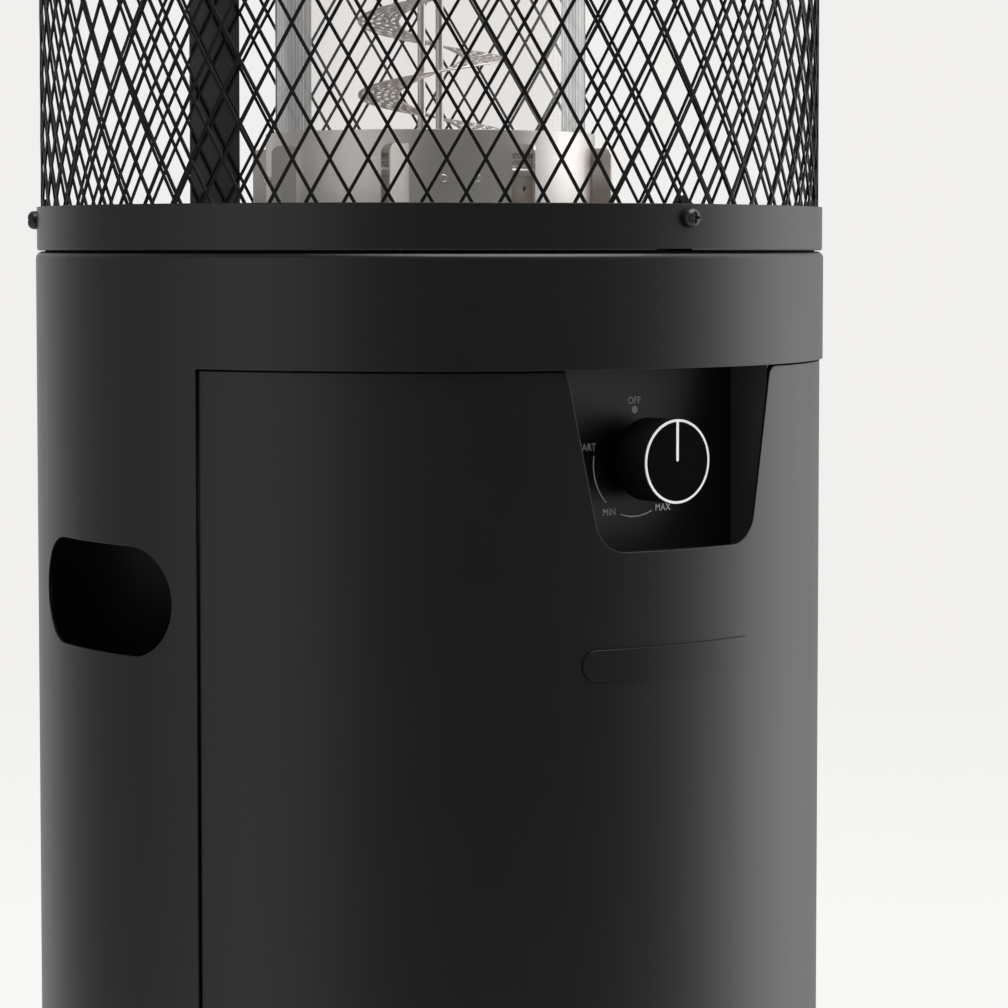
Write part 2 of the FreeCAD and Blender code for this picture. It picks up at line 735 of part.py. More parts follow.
def hinge_bracket():
    """Angle inside the collar that holds the upper hinge pin."""
    a0 = HINGE_ANGLE - HINGE_BRACKET_HALF_ANGLE
    a1 = HINGE_ANGLE + HINGE_BRACKET_HALF_ANGLE
    low = DOOR_TOP + HINGE_BRACKET_LIFT
    inner = HINGE_R - HINGE_PIN_R * 1.6
    outer = SHELL_INNER_R - SEAT_GAP
    leaf = arc_wall(inner, outer, low, low + DECK_SHEET, a0, a1)
    wall = arc_wall(outer - DECK_SHEET, outer, low, low + HINGE_BRACKET_HEIGHT, a0, a1)
    hole = post(HINGE_PIN_R, polar(HINGE_R, HINGE_ANGLE), low - 1, low + DECK_SHEET + 1)
    return joined([leaf, wall]).cut(hole)


def hinge_pins():
    """Fixed pins that the door turns on; the lower one has a shoulder that carries it."""
    centre = polar(HINGE_R, HINGE_ANGLE)
    bracket_top = DOOR_TOP + HINGE_BRACKET_LIFT + DECK_SHEET
    upper = post(HINGE_PIN_R, centre, DOOR_TOP - HINGE_PIN_REACH, bracket_top)
    lower = post(HINGE_PIN_R, centre, BASE_TOP, DOOR_BOTTOM + HINGE_PIN_REACH)
    shoulder = post(HINGE_PIN_R * 1.7, centre, BOTTLE_DECK_TOP, DOOR_BOTTOM)
    return Part.makeCompound([upper, joined([lower, shoulder])])


def magnet_catches():
    """Magnet blocks in the collar that hold the door's top flange, stepped back from the gap."""
    outer = SHELL_INNER_R - SEAT_GAP
    half = math.degrees(CATCH_WIDTH / outer / 2.0)
    low = DOOR_TOP + CATCH_GAP
    catch = arc_wall(outer - CATCH_DEPTH, outer, low, low + CATCH_HEIGHT, -half, half)
    step = ring(outer - CATCH_STEP, outer + 1.0, low - 1.0, COLLAR_BOTTOM + CATCH_STEP)
    return around(catch.cut(step), CATCH_ANGLES)


def notch_cutter():
    """Prism that opens the door in front of the control recess, its four corners rounded."""
    top = COLLAR_BOTTOM
    bottom = COLLAR_BOTTOM - NOTCH_BOTTOM_DROP
    slope = (NOTCH_TOP_HALF - NOTCH_BOTTOM_HALF) / NOTCH_BOTTOM_DROP
    half = NOTCH_TOP_HALF - slope * DOOR_TOP_GAP
    wide = half + NOTCH_LIP_ROUND * 2.0
    outline = [
        (-wide, top),
        (-wide, DOOR_TOP),
        (-half, DOOR_TOP),
        (-NOTCH_BOTTOM_HALF, bottom),
        (NOTCH_BOTTOM_HALF, bottom),
        (half, DOOR_TOP),
        (wide, DOOR_TOP),
        (wide, top),
        (-wide, top),
    ]
    points = [Vector(x, -PANEL_Y, z) for x, z in outline]
    prism = Part.Face(Part.makePolygon(points)).extrude(Vector(0, -SHELL_R, 0))
    feet = edges_along_y(prism, NOTCH_BOTTOM_HALF, bottom)
    prism = prism.makeFillet(NOTCH_ROUND, feet)
    lips = edges_along_y(prism, half, DOOR_TOP)
    return prism.makeFillet(NOTCH_LIP_ROUND, lips)


def edges_along_y(shape, x, z):
    """The two edges along Y at a height and at plus and minus a distance across."""
    found = []
    for edge in shape.Edges:
        box = edge.BoundBox
        straight = box.XLength < 1e-6 and box.ZLength < 1e-6
        if straight and abs(abs(box.XMin) - x) < 1e-6 and abs(box.ZMin - z) < 1e-6:
            found.append(edge)
    return found


def door_sheet():
    """Curved skin of the door with the notch cut out."""
    half = DOOR_HALF_ANGLE
    sheet = arc_wall(DOOR_INNER_R, DOOR_R, DOOR_BOTTOM, DOOR_TOP, -half, half)
    return sheet.cut(notch_cutter())


def door_flanges():
    """Returns along the four edges of the door, with tabs at the hinge corner."""
    half = DOOR_HALF_ANGLE
    inner = DOOR_R - DOOR_FLANGE
    skin = math.degrees(DOOR_SHEET / DOOR_R)
    clear = math.degrees(math.asin((NOTCH_TOP_HALF + NOTCH_FLANGE_CLEAR) / DOOR_R))
    tab_r = DOOR_R - DOOR_HINGE_TAB
    parts = []
    for z0 in (DOOR_BOTTOM, DOOR_TOP - DOOR_SHEET):
        z1 = z0 + DOOR_SHEET
        parts.append(arc_wall(tab_r, DOOR_R, z0, z1, DOOR_HINGE_TAB_ANGLE, half))
    parts.append(arc_wall(inner, DOOR_R, DOOR_BOTTOM, DOOR_BOTTOM + DOOR_SHEET, -half, half))
    parts.append(arc_wall(inner, DOOR_R, DOOR_TOP - DOOR_SHEET, DOOR_TOP, -half, -clear))
    parts.append(arc_wall(inner, DOOR_R, DOOR_TOP - DOOR_SHEET, DOOR_TOP, clear, half))
    parts.append(arc_wall(inner, DOOR_R, DOOR_BOTTOM, DOOR_TOP, -half, skin - half))
    parts.append(arc_wall(inner, DOOR_R, DOOR_BOTTOM, DOOR_TOP, half - skin, half))
    return parts


def door_panel():
    """Curved pan door with hinge holes."""
    door = joined([door_sheet()] + door_flanges())
    centre = polar(HINGE_R, HINGE_ANGLE)
    return door.cut(post(HINGE_PIN_R + HINGE_CLEARANCE, centre, DOOR_BOTTOM - 1, DOOR_TOP + 1))


def door_stiffener():
    """Upright channel welded inside the door below the notch."""
    back = DOOR_INNER_R
    low = DOOR_BOTTOM + DOOR_SHEET
    high = COLLAR_BOTTOM - NOTCH_BOTTOM_DROP - DOOR_FLANGE
    outer = math.degrees((STIFFENER_HALF_WIDTH + STIFFENER_LIP) / back)
    inner = math.degrees(STIFFENER_HALF_WIDTH / back)
    skin = math.degrees(DOOR_SHEET / back)
    depth_r = back - STIFFENER_DEPTH
    crown = arc_wall(depth_r, depth_r + DOOR_SHEET, low, high, -inner, inner)
    parts = [crown]
    for side in (-1, 1):
        edge = side * inner
        thin = side * (inner - skin)
        lip = side * outer
        parts.append(arc_wall(depth_r, back, low, high, min(edge, thin), max(edge, thin)))
        parts.append(arc_wall(back - DOOR_SHEET, back, low, high, min(thin, lip), max(thin, lip)))
    return joined(parts)


def badge_plate():
    """Thin blank plate with round ends on the front of the door."""
    z = SHELL_TOP - BADGE_DROP
    inner = DOOR_R + SEAT_GAP
    skin = ring(inner, inner + BADGE_THICK, z - BADGE_HEIGHT, z + BADGE_HEIGHT)
    outline = stadium(BADGE_LENGTH, BADGE_HEIGHT, -DOOR_R - BADGE_THICK - 1.0, -PANEL_Y, BADGE_X, z)
    return skin.common(outline)


def control_box():
    """Pocket behind the notch: flat back panel, straight sides, floor, ceiling, top flange."""
    outer = PANEL_HALF + BOX_SHEET
    low = BOX_FLOOR - BOX_SHEET
    high = BOX_CEILING + BOX_SHEET
    pocket = block(-outer, outer, -BOX_R, -PANEL_BACK, low, high)
    room = block(-PANEL_HALF, PANEL_HALF, -SHELL_R, -PANEL_Y, BOX_FLOOR, BOX_CEILING)
    pocket = pocket.common(disc(BOX_R, low, high)).cut(room)
    tall = block(-outer, outer, -PANEL_Y, -PANEL_BACK, low, TOP_DECK_UNDER)
    flange_end = -PANEL_BACK + BOX_TOP_FLANGE
    flange = block(-outer, outer, -PANEL_Y, flange_end, TOP_DECK_UNDER - BOX_SHEET, TOP_DECK_UNDER)
    box = joined([pocket, tall, flange])
    cuts = [front_rod(SPINDLE_R + SPINDLE_HOLE_GAP, PANEL_BACK - 1, PANEL_Y + 1, 0.0, KNOB_Z)]
    for side in (-1, 1):
        z = KNOB_Z + side * VALVE_SCREW_RISE
        cuts.append(front_rod(VALVE_SCREW_R, PANEL_BACK - 1, PANEL_Y + 1, 0.0, z))
    return box.cut(cuts)


def d_shaft(radius, flat, depth0, depth1):
    """Round shaft along Y with a flat on its top."""
    shaft = front_rod(radius, depth0, depth1, 0.0, KNOB_Z)
    level = KNOB_Z + radius - flat
    return shaft.cut(block(-radius, radius, -depth1 - 1, 1 - depth0, level, KNOB_Z + radius + 1))


def valve_body():
    """Brass block behind the panel, bored for the plug and drilled for inlet and outlets."""
    body = block(-VALVE_HALF, VALVE_HALF, -PANEL_BACK, -VALVE_END, KNOB_Z - VALVE_HALF, KNOB_Z + VALVE_HALF)
    bore = front_rod(PLUG_R + PLUG_CLEARANCE, PLUG_END - PLUG_PLAY, PANEL_BACK + 1, 0.0, KNOB_Z)
    outlet = front_rod(PLUG_PORT_R, VALVE_END - 1, PLUG_END, 0.0, KNOB_Z)
    inlet = post(PLUG_PORT_R, Vector(0, -INLET_Y, 0), KNOB_Z - VALVE_HALF - 1, KNOB_Z)
    cuts = [bore, outlet, inlet]
    for side in (-1, 1):
        z = KNOB_Z + side * VALVE_SCREW_RISE
        cuts.append(front_rod(VALVE_SCREW_R, PANEL_BACK - VALVE_HALF, PANEL_BACK + 1, 0.0, z))
    return body.cut(cuts)


def valve_plug():
    """Turning plug with a socket for the spindle; its side port meets the inlet at full flame."""
    plug = front_rod(PLUG_R, PLUG_END, PLUG_FRONT, 0.0, KNOB_Z)
    fit = SPINDLE_R + SPINDLE_CLEARANCE
    socket = d_shaft(fit, SPINDLE_FLAT, SOCKET_END, PLUG_FRONT + 1)
    port = front_rod(PLUG_PORT_R, PLUG_END - 1, PLUG_END + PLUG_PORT_R * 2.0, 0.0, KNOB_Z)
    port_y = -(PLUG_END + PLUG_PORT_R * 2.0)
    side = post(PLUG_PORT_R, Vector(0, port_y, 0), KNOB_Z - PLUG_R - 1, KNOB_Z)
    side.rotate(Vector(0, 0, KNOB_Z), Y, KNOB_TURN)
    return plug.cut([socket, port, side])


def valve_spindle():
    """Sliding spindle with a stop collar behind the panel."""
    shaft = d_shaft(SPINDLE_R, SPINDLE_FLAT, SPINDLE_END, KNOB_BACK + SPINDLE_IN_KNOB)
    collar_front = PANEL_BACK - SPINDLE_CLEARANCE
    collar = front_rod(SPINDLE_COLLAR_R, collar_front - SPINDLE_COLLAR, collar_front, 0.0, KNOB_Z)
    return joined([shaft, collar])


def valve_spring():
    """Coil spring in the plug's socket that pushes the spindle out."""
    height = SPRING_ROOM - SPRING_WIRE_R * 2.0
    helix = Part.makeHelix(height / SPRING_TURNS, height, SPRING_R)
    profile = Part.Wire(Part.makeCircle(SPRING_WIRE_R, Vector(SPRING_R, 0, 0), Y))
    spring = Part.Wire(helix).makePipeShell([profile], True, True)
    spring.rotate(Vector(0, 0, 0), X, 90)
    spring.translate(Vector(0, -SOCKET_END - SPRING_WIRE_R, KNOB_Z))
    return spring


def knob():
    """Round knob, hollow behind, with a shallow groove for its white inlay."""
    body = front_rod(KNOB_R, KNOB_BACK, KNOB_FRONT, 0.0, KNOB_Z)
    hollow_r = KNOB_R - KNOB_WALL
    hollow = front_rod(hollow_r, KNOB_BACK - 1, KNOB_FRONT - KNOB_FACE, 0.0, KNOB_Z)
    hub = front_rod(KNOB_HUB_R, KNOB_BACK - 2, KNOB_FRONT, 0.0, KNOB_Z)
    socket = d_shaft(SPINDLE_R + INLAY_CLEARANCE, SPINDLE_FLAT, KNOB_BACK - 1, KNOB_BACK + SPINDLE_IN_KNOB)
    return body.cut([hollow.cut(hub), socket, inlay_shape(0.0, 1.0)])


def inlay_shape(clearance, extra):
    """Ring at the knob's rim and a bar from its centre to the top of the ring."""
    y0 = KNOB_FRONT - INLAY_DEPTH
    y1 = KNOB_FRONT + extra
    inner = KNOB_R - INLAY_RING + clearance
    rim = front_rod(KNOB_R + extra, y0, y1, 0.0, KNOB_Z).cut(front_rod(inner, y0 - 1, y1 + 1, 0.0, KNOB_Z))
    half = INLAY_BAR / 2.0 - clearance
    foot = KNOB_Z + INLAY_BAR / 2.0
    bar = block(-half, half, -y1, -y0, foot, KNOB_Z + inner + INLAY_RING / 2.0)
    return joined([rim, bar, front_rod(half, y0, y1, 0.0, foot)])


def knob_inlay():
    """White pointer ring and bar, flush with the knob's face."""
    return inlay_shape(INLAY_CLEARANCE, 0.0)


def valve_screws():
    """Two screws that hold the valve to the panel, behind the knob."""
    screw = pan_screw(VALVE_SCREW_R, VALVE_HALF / 2.0, VALVE_SCREW_HEAD_R, VALVE_SCREW_HEAD)
    screws = []
    for side in (-1, 1):
        one = screw.copy()
        one.translate(Vector(0, -PANEL_Y, KNOB_Z + side * VALVE_SCREW_RISE))
        screws.append(one)
    return Part.makeCompound(screws)


def gas_inlet():
    """Hose tail under the valve, with its hexagon."""
    centre = Vector(0, -INLET_Y, 0)
    top = KNOB_Z - VALVE_HALF
    nut = hex_prism(INLET_NUT_R, top - INLET_NUT, top, centre)
    tail = post(INLET_R, centre, top - INLET_NUT - INLET_LENGTH, top - INLET_NUT)
    bore = post(PLUG_PORT_R, centre, top - INLET_NUT - INLET_LENGTH - 1, top + 1)
    return joined([nut, tail]).cut(bore)


def supply_pipe():
    """Pipe from the back of the valve to the jet under the venturi."""
    points = [
        Vector(0, -VALVE_END, KNOB_Z),
        Vector(0, 0, KNOB_Z),
        Vector(0, 0, VENTURI_BOTTOM - JET_LENGTH / 2.0),
    ]
    return hollow_pipe(SUPPLY_PIPE_R, points, SUPPLY_BEND_R)


def pilot_bracket_base():
    """Height of the underside of the pilot bracket."""
    return BURNER_BOTTOM + PILOT_BRACKET_LIFT


def pilot_pipe():
    """Thin pipe from the side of the valve up to the pilot burner."""
    y = -(PANEL_BACK - VALVE_LENGTH * 0.75)
    points = [
        Vector(VALVE_HALF, y, KNOB_Z),
        Vector(PILOT_X, y, KNOB_Z),
        Vector(PILOT_X, 0, KNOB_Z),
        Vector(PILOT_X, 0, pilot_bracket_base()),
    ]
    return hollow_pipe(PILOT_PIPE_R, points, PILOT_BEND_R)


def thermocouple():
    """Probe beside the pilot with its copper lead from the side of the valve."""
    y = -(PANEL_BACK - VALVE_LENGTH * 0.4)
    z = KNOB_Z + PIPE_SPACING
    top = pilot_bracket_base() + PILOT_BRACKET_SHEET + PROBE_LENGTH
    points = [
        Vector(VALVE_HALF, y, z),
        Vector(PILOT_X, y, z),
        Vector(PILOT_X, -PILOT_SPACING, z),
        Vector(PILOT_X, -PILOT_SPACING, top),
    ]
    return bent_pipe(PROBE_R, points, PILOT_BEND_R)


def igniter_electrode():
    """Ceramic rod with a wire tip beside the pilot."""
    centre = Vector(PILOT_X, PILOT_SPACING, 0)
    low = pilot_bracket_base() - ELECTRODE_TAIL
    high = pilot_bracket_base() + PILOT_BRACKET_SHEET + PILOT_TIP
    rod = post(ELECTRODE_R, centre, low, high)
    tip = post(ELECTRODE_TIP_R, centre, high, high + ELECTRODE_TIP)
    return joined([rod, tip])


def pilot_burner():
    """Pilot jet standing on its angle bracket beside the burner."""
    low = pilot_bracket_base()
    high = low + PILOT_BRACKET_SHEET
    half = PILOT_SPACING + ELECTRODE_R + 2.0
    inner = math.sqrt(BURNER_R ** 2 - half ** 2)
    outer = PILOT_X + PILOT_BRACKET_DEPTH / 2.0
    shelf = block(inner, outer, -half, half, low, high)
    leg = block(inner, outer, -half, half, BURNER_BOTTOM, high)
    leg = leg.common(disc(BURNER_R + PILOT_BRACKET_SHEET, BURNER_BOTTOM, high))
    bracket = joined([shelf, leg]).cut(disc(BURNER_R, BURNER_BOTTOM - 1, BURNER_TOP))
    holes = []
    for offset, radius in ((-1, PROBE_R), (0, PILOT_PIPE_R - PIPE_WALL), (1, ELECTRODE_R)):
        holes.append(post(radius, Vector(PILOT_X, offset * PILOT_SPACING, 0), low - 1, BURNER_TOP))
    tip = post(PILOT_TIP_R, Vector(PILOT_X, 0, 0), low, high + PILOT_TIP)
    return joined([bracket, tip]).cut(holes)


def tilt_switch():
    """Sealed safety switch under the deck."""
    half_x = TILT_LENGTH / 2.0
    half_y = TILT_WIDTH / 2.0
    low = TOP_DECK_UNDER - TILT_HEIGHT
    case = block(TILT_X - half_x, TILT_X + half_x, TILT_Y - half_y, TILT_Y + half_y, low, TOP_DECK_UNDER)
    upright = [edge for edge in case.Edges if edge.BoundBox.ZLength > TILT_HEIGHT - 1.0]
    return case.makeFillet(TILT_WIDTH / 8.0, upright)


def venturi_tube():
    """Mixing tube with air windows and a flange that rests on the deck."""
    tube = disc(VENTURI_R, VENTURI_BOTTOM, BURNER_BOTTOM)
    flange = disc(VENTURI_FLANGE_R, TOP_DECK_TOP, TOP_DECK_TOP + VENTURI_FLANGE)
    bore = disc(VENTURI_R - VENTURI_WALL, VENTURI_BOTTOM - 1, BURNER_BOTTOM + 1)
    low = VENTURI_BOTTOM + JET_LENGTH / 2.0
    window = block(-VENTURI_R * 2, VENTURI_R * 2, -VENTURI_WINDOW / 2.0, VENTURI_WINDOW / 2.0,
                   low, low + VENTURI_WINDOW)
    return joined([tube, flange]).cut([bore, window])


def gas_jet():
    """Brass plug with a fine hole, in the bottom of the venturi."""
    low = VENTURI_BOTTOM - JET_LENGTH / 2.0
    fit = VENTURI_R - VENTURI_WALL - SPINDLE_CLEARANCE
    skirt = disc(VENTURI_R, low, VENTURI_BOTTOM)
    plug = disc(fit, VENTURI_BOTTOM, VENTURI_BOTTOM + JET_LENGTH / 2.0)
    return joined([skirt, plug]).cut(disc(JET_HOLE_R, low - 1, VENTURI_BOTTOM + JET_LENGTH))


def burner_head():
    """Hollow round burner with a ring of ports and an inlet for the venturi."""
    head = disc(BURNER_R, BURNER_BOTTOM, BURNER_TOP)
    room = disc(BURNER_R - BURNER_WALL, BURNER_BOTTOM + BURNER_WALL, BURNER_TOP + 1)
    inlet = disc(VENTURI_R - VENTURI_WALL, BURNER_BOTTOM - 1, BURNER_TOP)
    z = BURNER_TOP - BURNER_WALL * 2.0
    port = front_rod(BURNER_PORT_R, BURNER_R - BURNER_WALL * 2.0, BURNER_R + 1, 0.0, z)
    step = 360.0 / BURNER_PORTS
    ports = [turned(port, step * (i + 0.5)) for i in range(BURNER_PORTS)]
    return head.cut([room, inlet] + ports)


def burner_cap():
    """Lid of the burner, which the spiral's rods stand on."""
    cap = disc(BURNER_R + BURNER_CAP_OVERHANG, BURNER_TOP, BURNER_CAP_TOP)
    rim = [edge for edge in cap.Edges if abs(edge.BoundBox.ZMin - BURNER_CAP_TOP) < 1e-6]
    return cap.makeFillet(BURNER_CAP * 0.4, rim)


def slot_cutter():
    """Cutter at the front for one air slot with rounded top corners."""
    half = SLOT_WIDTH / 2.0
    low = SHELL_TOP + SLOT_FOOT_RISE
    high = SHELL_TOP + SLOT_TOP_RISE
    bar = block(-half, half, -SHROUD_R - 5.0, -SHROUD_R * 0.8, low, high)
    return bar.makeFillet(SLOT_ROUND, edges_along_y(bar, half, high))


def slot_flap():
    """Tongue at the front, bent outward along the right edge of its slot."""
    high = SHELL_TOP + SLOT_TOP_RISE
    low = SHELL_TOP + SLOT_FOOT_RISE
    plate = block(-FLAP_LENGTH, SHROUD_SHEET, -SHROUD_SHEET, 0.0, low, high)
    plate = plate.makeFillet(SLOT_ROUND, edges_along_y(plate, FLAP_LENGTH, high))
    plate.rotate(Vector(0, 0, 0), Z, FLAP_TURN)
    half_angle = math.asin(SLOT_WIDTH / 2.0 / SHROUD_R)
    corner = Vector(SLOT_WIDTH / 2.0, -SHROUD_R * math.cos(half_angle) + SHROUD_SHEET / 2.0, 0)
    plate.translate(corner)
    return plate


def burner_shroud():
    """Steel sleeve round the burner with slots whose tongues are bent out."""
    inner = SHROUD_R - SHROUD_SHEET
    sleeve = ring(inner, SHROUD_R, TOP_DECK_TOP, SHROUD_TOP)
    angles = [SLOT_OFFSET + 360.0 * i / SLOT_COUNT for i in range(SLOT_COUNT)]
    sleeve = sleeve.cut([turned(slot_cutter(), angle) for angle in angles])
    sleeve = joined([sleeve] + [turned(slot_flap(), angle) for angle in angles])
    sleeve = sleeve.cut([turned(hole, angle) for angle in CLIP_ANGLES for hole in rivet_holes()])
    return sleeve


def rivet_holes():
    """Cutters at the front for the two rivets of a clip."""
    z = SHELL_TOP + RIVET_RISE
    half = RIVET_SPACING / 2.0
    return [front_rod(RIVET_R, SHROUD_R * 0.9, SHROUD_R + 5.0, x, z) for x in (-half, half)]


def glass_clips():
    """Angle clips inside the shroud that the glass stands on."""
    outer = SHROUD_R - SHROUD_SHEET - SEAT_GAP
    half = math.degrees(CLIP_WIDTH / outer / 2.0)
    leg = arc_wall(outer - CLIP_SHEET, outer, GLASS_SEAT - CLIP_LEG, GLASS_SEAT, -half, half)
    shelf = arc_wall(outer - CLIP_REACH, outer, GLASS_SEAT - CLIP_SHEET, GLASS_SEAT, -half, half)
    return around(joined([leg, shelf]).cut(rivet_holes()), CLIP_ANGLES)


def rivets():
    """Rivets that hold the glass clips to the shroud."""
    z = SHELL_TOP + RIVET_RISE
    half = RIVET_SPACING / 2.0
    flat = math.sqrt(SHROUD_R ** 2 - (half - RIVET_HEAD_R) ** 2)
    tail = SHROUD_R - SHROUD_SHEET - CLIP_SHEET - RIVET_HEAD * 1.5
    pair = []
    for x in (-half, half):
        head = front_rod(RIVET_HEAD_R, flat, flat + RIVET_HEAD, x, z)
        rim = [edge for edge in head.Edges if abs(edge.BoundBox.YMin + flat + RIVET_HEAD) < 1e-6]
        rim = [edge for edge in rim if edge.BoundBox.YLength < 1e-6]
        head = head.makeFillet(RIVET_HEAD * 0.6, rim)
        pair.append(joined([head, front_rod(RIVET_R, tail, flat + RIVET_HEAD / 2.0, x, z)]))
    return Part.makeCompound([turned(rivet, angle) for angle in CLIP_ANGLES for rivet in pair])


def glass_gasket_lower():
    """Fibre ring between the clips and the glass."""
    return ring(GLASS_INNER_R - GASKET_OVERHANG, GLASS_R + GASKET_OVERHANG, GLASS_SEAT, GLASS_BOTTOM)


def glass_tube():
    """Clear flame tube, its end edges fire polished."""
    tube = ring(GLASS_INNER_R, GLASS_R, GLASS_BOTTOM, GLASS_TOP)
    rims = [edge for edge in tube.Edges if edge.BoundBox.ZLength < 1e-6]
    return tube.makeFillet(GLASS_WALL * 0.2, rims)


def spiral_baffle():
    """Right-handed ribbon wound round the flame's axis."""
    height = SPIRAL_PITCH * SPIRAL_TURNS
    helix = Part.makeHelix(SPIRAL_PITCH, height, SPIRAL_INNER_R)
    half = SPIRAL_SHEET / 2.0
    points = [
        Vector(SPIRAL_INNER_R, 0, -half),
        Vector(SPIRAL_OUTER_R, 0, -half),
        Vector(SPIRAL_OUTER_R, 0, half),
        Vector(SPIRAL_INNER_R, 0, half),
        Vector(SPIRAL_INNER_R, 0, -half),
    ]
    ribbon = Part.Wire(helix).makePipeShell([Part.makePolygon(points)], True, True)
    ribbon.rotate(Vector(0, 0, 0), Z, SPIRAL_START - 90.0)
    ribbon.translate(Vector(0, 0, BURNER_CAP_TOP + SPIRAL_LIFT))
    return ribbon


def spiral_rods():
    """Two rods, opposite each other, welded to the inner edge of the ribbon."""
    top = BURNER_CAP_TOP + SPIRAL_LIFT + SPIRAL_PITCH * SPIRAL_TURNS + SPIRAL_ROD_TAIL
    radius = SPIRAL_INNER_R - SPIRAL_ROD_R
    rod = post(SPIRAL_ROD_R, polar(radius, 0.0), BURNER_CAP_TOP, top)
    return around(rod, (SPIRAL_ROD_ANGLE, SPIRAL_ROD_ANGLE + 180.0))


def ring_gasket():
    """Thin gasket that leaves the dark line between collar and guard ring."""
    gasket = ring(RING_R - RING_FLANGE, SHELL_R - COLLAR_ROUND - 1.0, SHELL_TOP, RING_BOTTOM)
    return gasket.cut(deck_screw_holes())


def guard_ring(lower):
    """Rolled angle ring at one end of the mesh."""
    bottom = RING_BOTTOM if lower else UPPER_RING_BOTTOM
    top = bottom + RING_HEIGHT
    rim, bend_z, way = (top, bottom, 1.0) if lower else (bottom, top, -1.0)
    turn = round_corner(RING_BEND)
    bend_end = bend_z + way * RING_BEND
    flange_face = bend_z + way * SHEET
    bend_r = RING_R - RING_BEND
    wall = ring(RING_INNER_R, RING_R, min(rim, bend_end), max(rim, bend_end))
    flange = ring(RING_R - RING_FLANGE, bend_r, min(bend_z, flange_face), max(bend_z, flange_face))
    bend = revolved([
        (RING_R, bend_end),
        (RING_R - turn, bend_z + way * turn, "arc"),
        (bend_r, bend_z),
        (bend_r, bend_end),
    ], ROUND_SECTORS)
    rolled = wall.fuse([flange, bend])
    screw_z = guard_screw_height(lower)
    half = RING_NOTCH_WIDTH / 2.0
    cuts = []
    for angle in GUARD_SCREW_ANGLES:
        cuts.append(turned(front_rod(M5_R + M5_HOLE_GAP, RING_R - 5, RING_R + 5, 0.0, screw_z), angle))
        if lower:
            notch_top = bottom + RING_NOTCH_HEIGHT
            notch = block(-half, half, -RING_R - 1, RING_NOTCH_DEPTH - RING_R, bottom - 1, notch_top)
            cuts.append(turned(notch, angle + RING_NOTCH_TURN))
    if lower:
        cuts += deck_screw_holes()
    else:
        hole = post(CAP_SCREW_R + M5_HOLE_GAP, polar(POST_CIRCLE_R, 0.0), bottom, top + 1)
        cuts += [turned(hole, angle) for angle in ARM_ANGLES]
    return rolled.cut(cuts)


def guard_screw_height(lower):
    """Height of the radial screws in one of the guard rings."""
    return RING_TOP - GUARD_SCREW_DROP if lower else UPPER_RING_BOTTOM + GUARD_SCREW_DROP


def strip_outline(holes_left, holes_right, width, tip, low, high):
    """Outline of the material between two columns, as (distance across, height) points."""
    points = [(0.0, low), (width, low)]
    for bottom, middle, top in holes_right:
        points += [(width, bottom), (width - tip, middle), (width, top)]
    points += [(width, high), (0.0, high)]
    for bottom, middle, top in reversed(holes_left):
        points += [(0.0, top), (tip, middle), (0.0, bottom)]
    return points


def column_holes(column):
    """Diamond openings on a column: the heights of their bottom, widest place and top."""
    run = MESH_R * math.radians(COLUMN_STEP)
    lean = math.atan2(run, ROW_HEIGHT / 2.0)
    half = ROW_HEIGHT / 2.0 - STRAND_WIDTH / 2.0 / math.sin(lean)
    holes = []
    for i in range(DIAMOND_ROWS + 1):
        middle = MESH_FIRST_ROW + ROW_HEIGHT * i
        if column % 2 == 0:
            middle += ROW_HEIGHT / 2.0
            if i == DIAMOND_ROWS:
                continue
        bottom = max(middle - half, MESH_FIRST_ROW)
        top = min(middle + half, MESH_LAST_ROW)
        holes.append((bottom, middle, top))
    return holes


def mesh_sector():
    """Flat-faceted piece of the diamond mesh at the front, made face by face."""
    count = DIAMONDS_PER_SECTOR * 2
    first = -DIAMONDS_PER_SECTOR
    low = MESH_FIRST_ROW - MESH_BAND
    high = MESH_LAST_ROW + MESH_BAND
    run = MESH_R * math.radians(COLUMN_STEP)
    lean = math.atan2(run, ROW_HEIGHT / 2.0)
    tip = run - STRAND_WIDTH / 2.0 / math.cos(lean)
    faces = []
    for i in range(count):
        column = first + i
        a0 = COLUMN_STEP * column
        a1 = a0 + COLUMN_STEP
        sides = []
        for radius in (MESH_R, MESH_INNER_R):
            start = polar(radius, a0)
            across = polar(radius, a1) - start
            width = across.Length
            across.normalize()
            outline = strip_outline(column_holes(column), column_holes(column + 1), width, tip, low, high)
            sides.append([start + across * x + Z * z for x, z in outline])
        outer, inner = sides
        faces.append(Part.Face(Part.makePolygon(outer + outer[:1])))
        faces.append(Part.Face(Part.makePolygon(inner + inner[:1])))
        faces += wall_faces(outer, inner, i == 0, i == count - 1)
    shell = Part.Compound(faces)
    shell.sewShape()
    return Part.Solid(shell.Shells[0])


def wall_faces(outer, inner, first, last):
    """Faces through the mesh's thickness, left out where the next strip carries on."""
    faces = []
    width = (outer[1] - outer[0]).Length
    total = len(outer)
    for i in range(total):
        a = outer[i]
        b = outer[(i + 1) % total]
        upright = (a - b).x ** 2 + (a - b).y ** 2 < 1e-9
        on_left = (Vector(a.x, a.y, 0) - Vector(outer[0].x, outer[0].y, 0)).Length < width / 2.0
        if upright and not (first and on_left) and not (last and not on_left):
            continue
        c = inner[(i + 1) % total]
        d = inner[i]
        faces.append(Part.Face(Part.makePolygon([a, b, c, d, a])))
    return faces


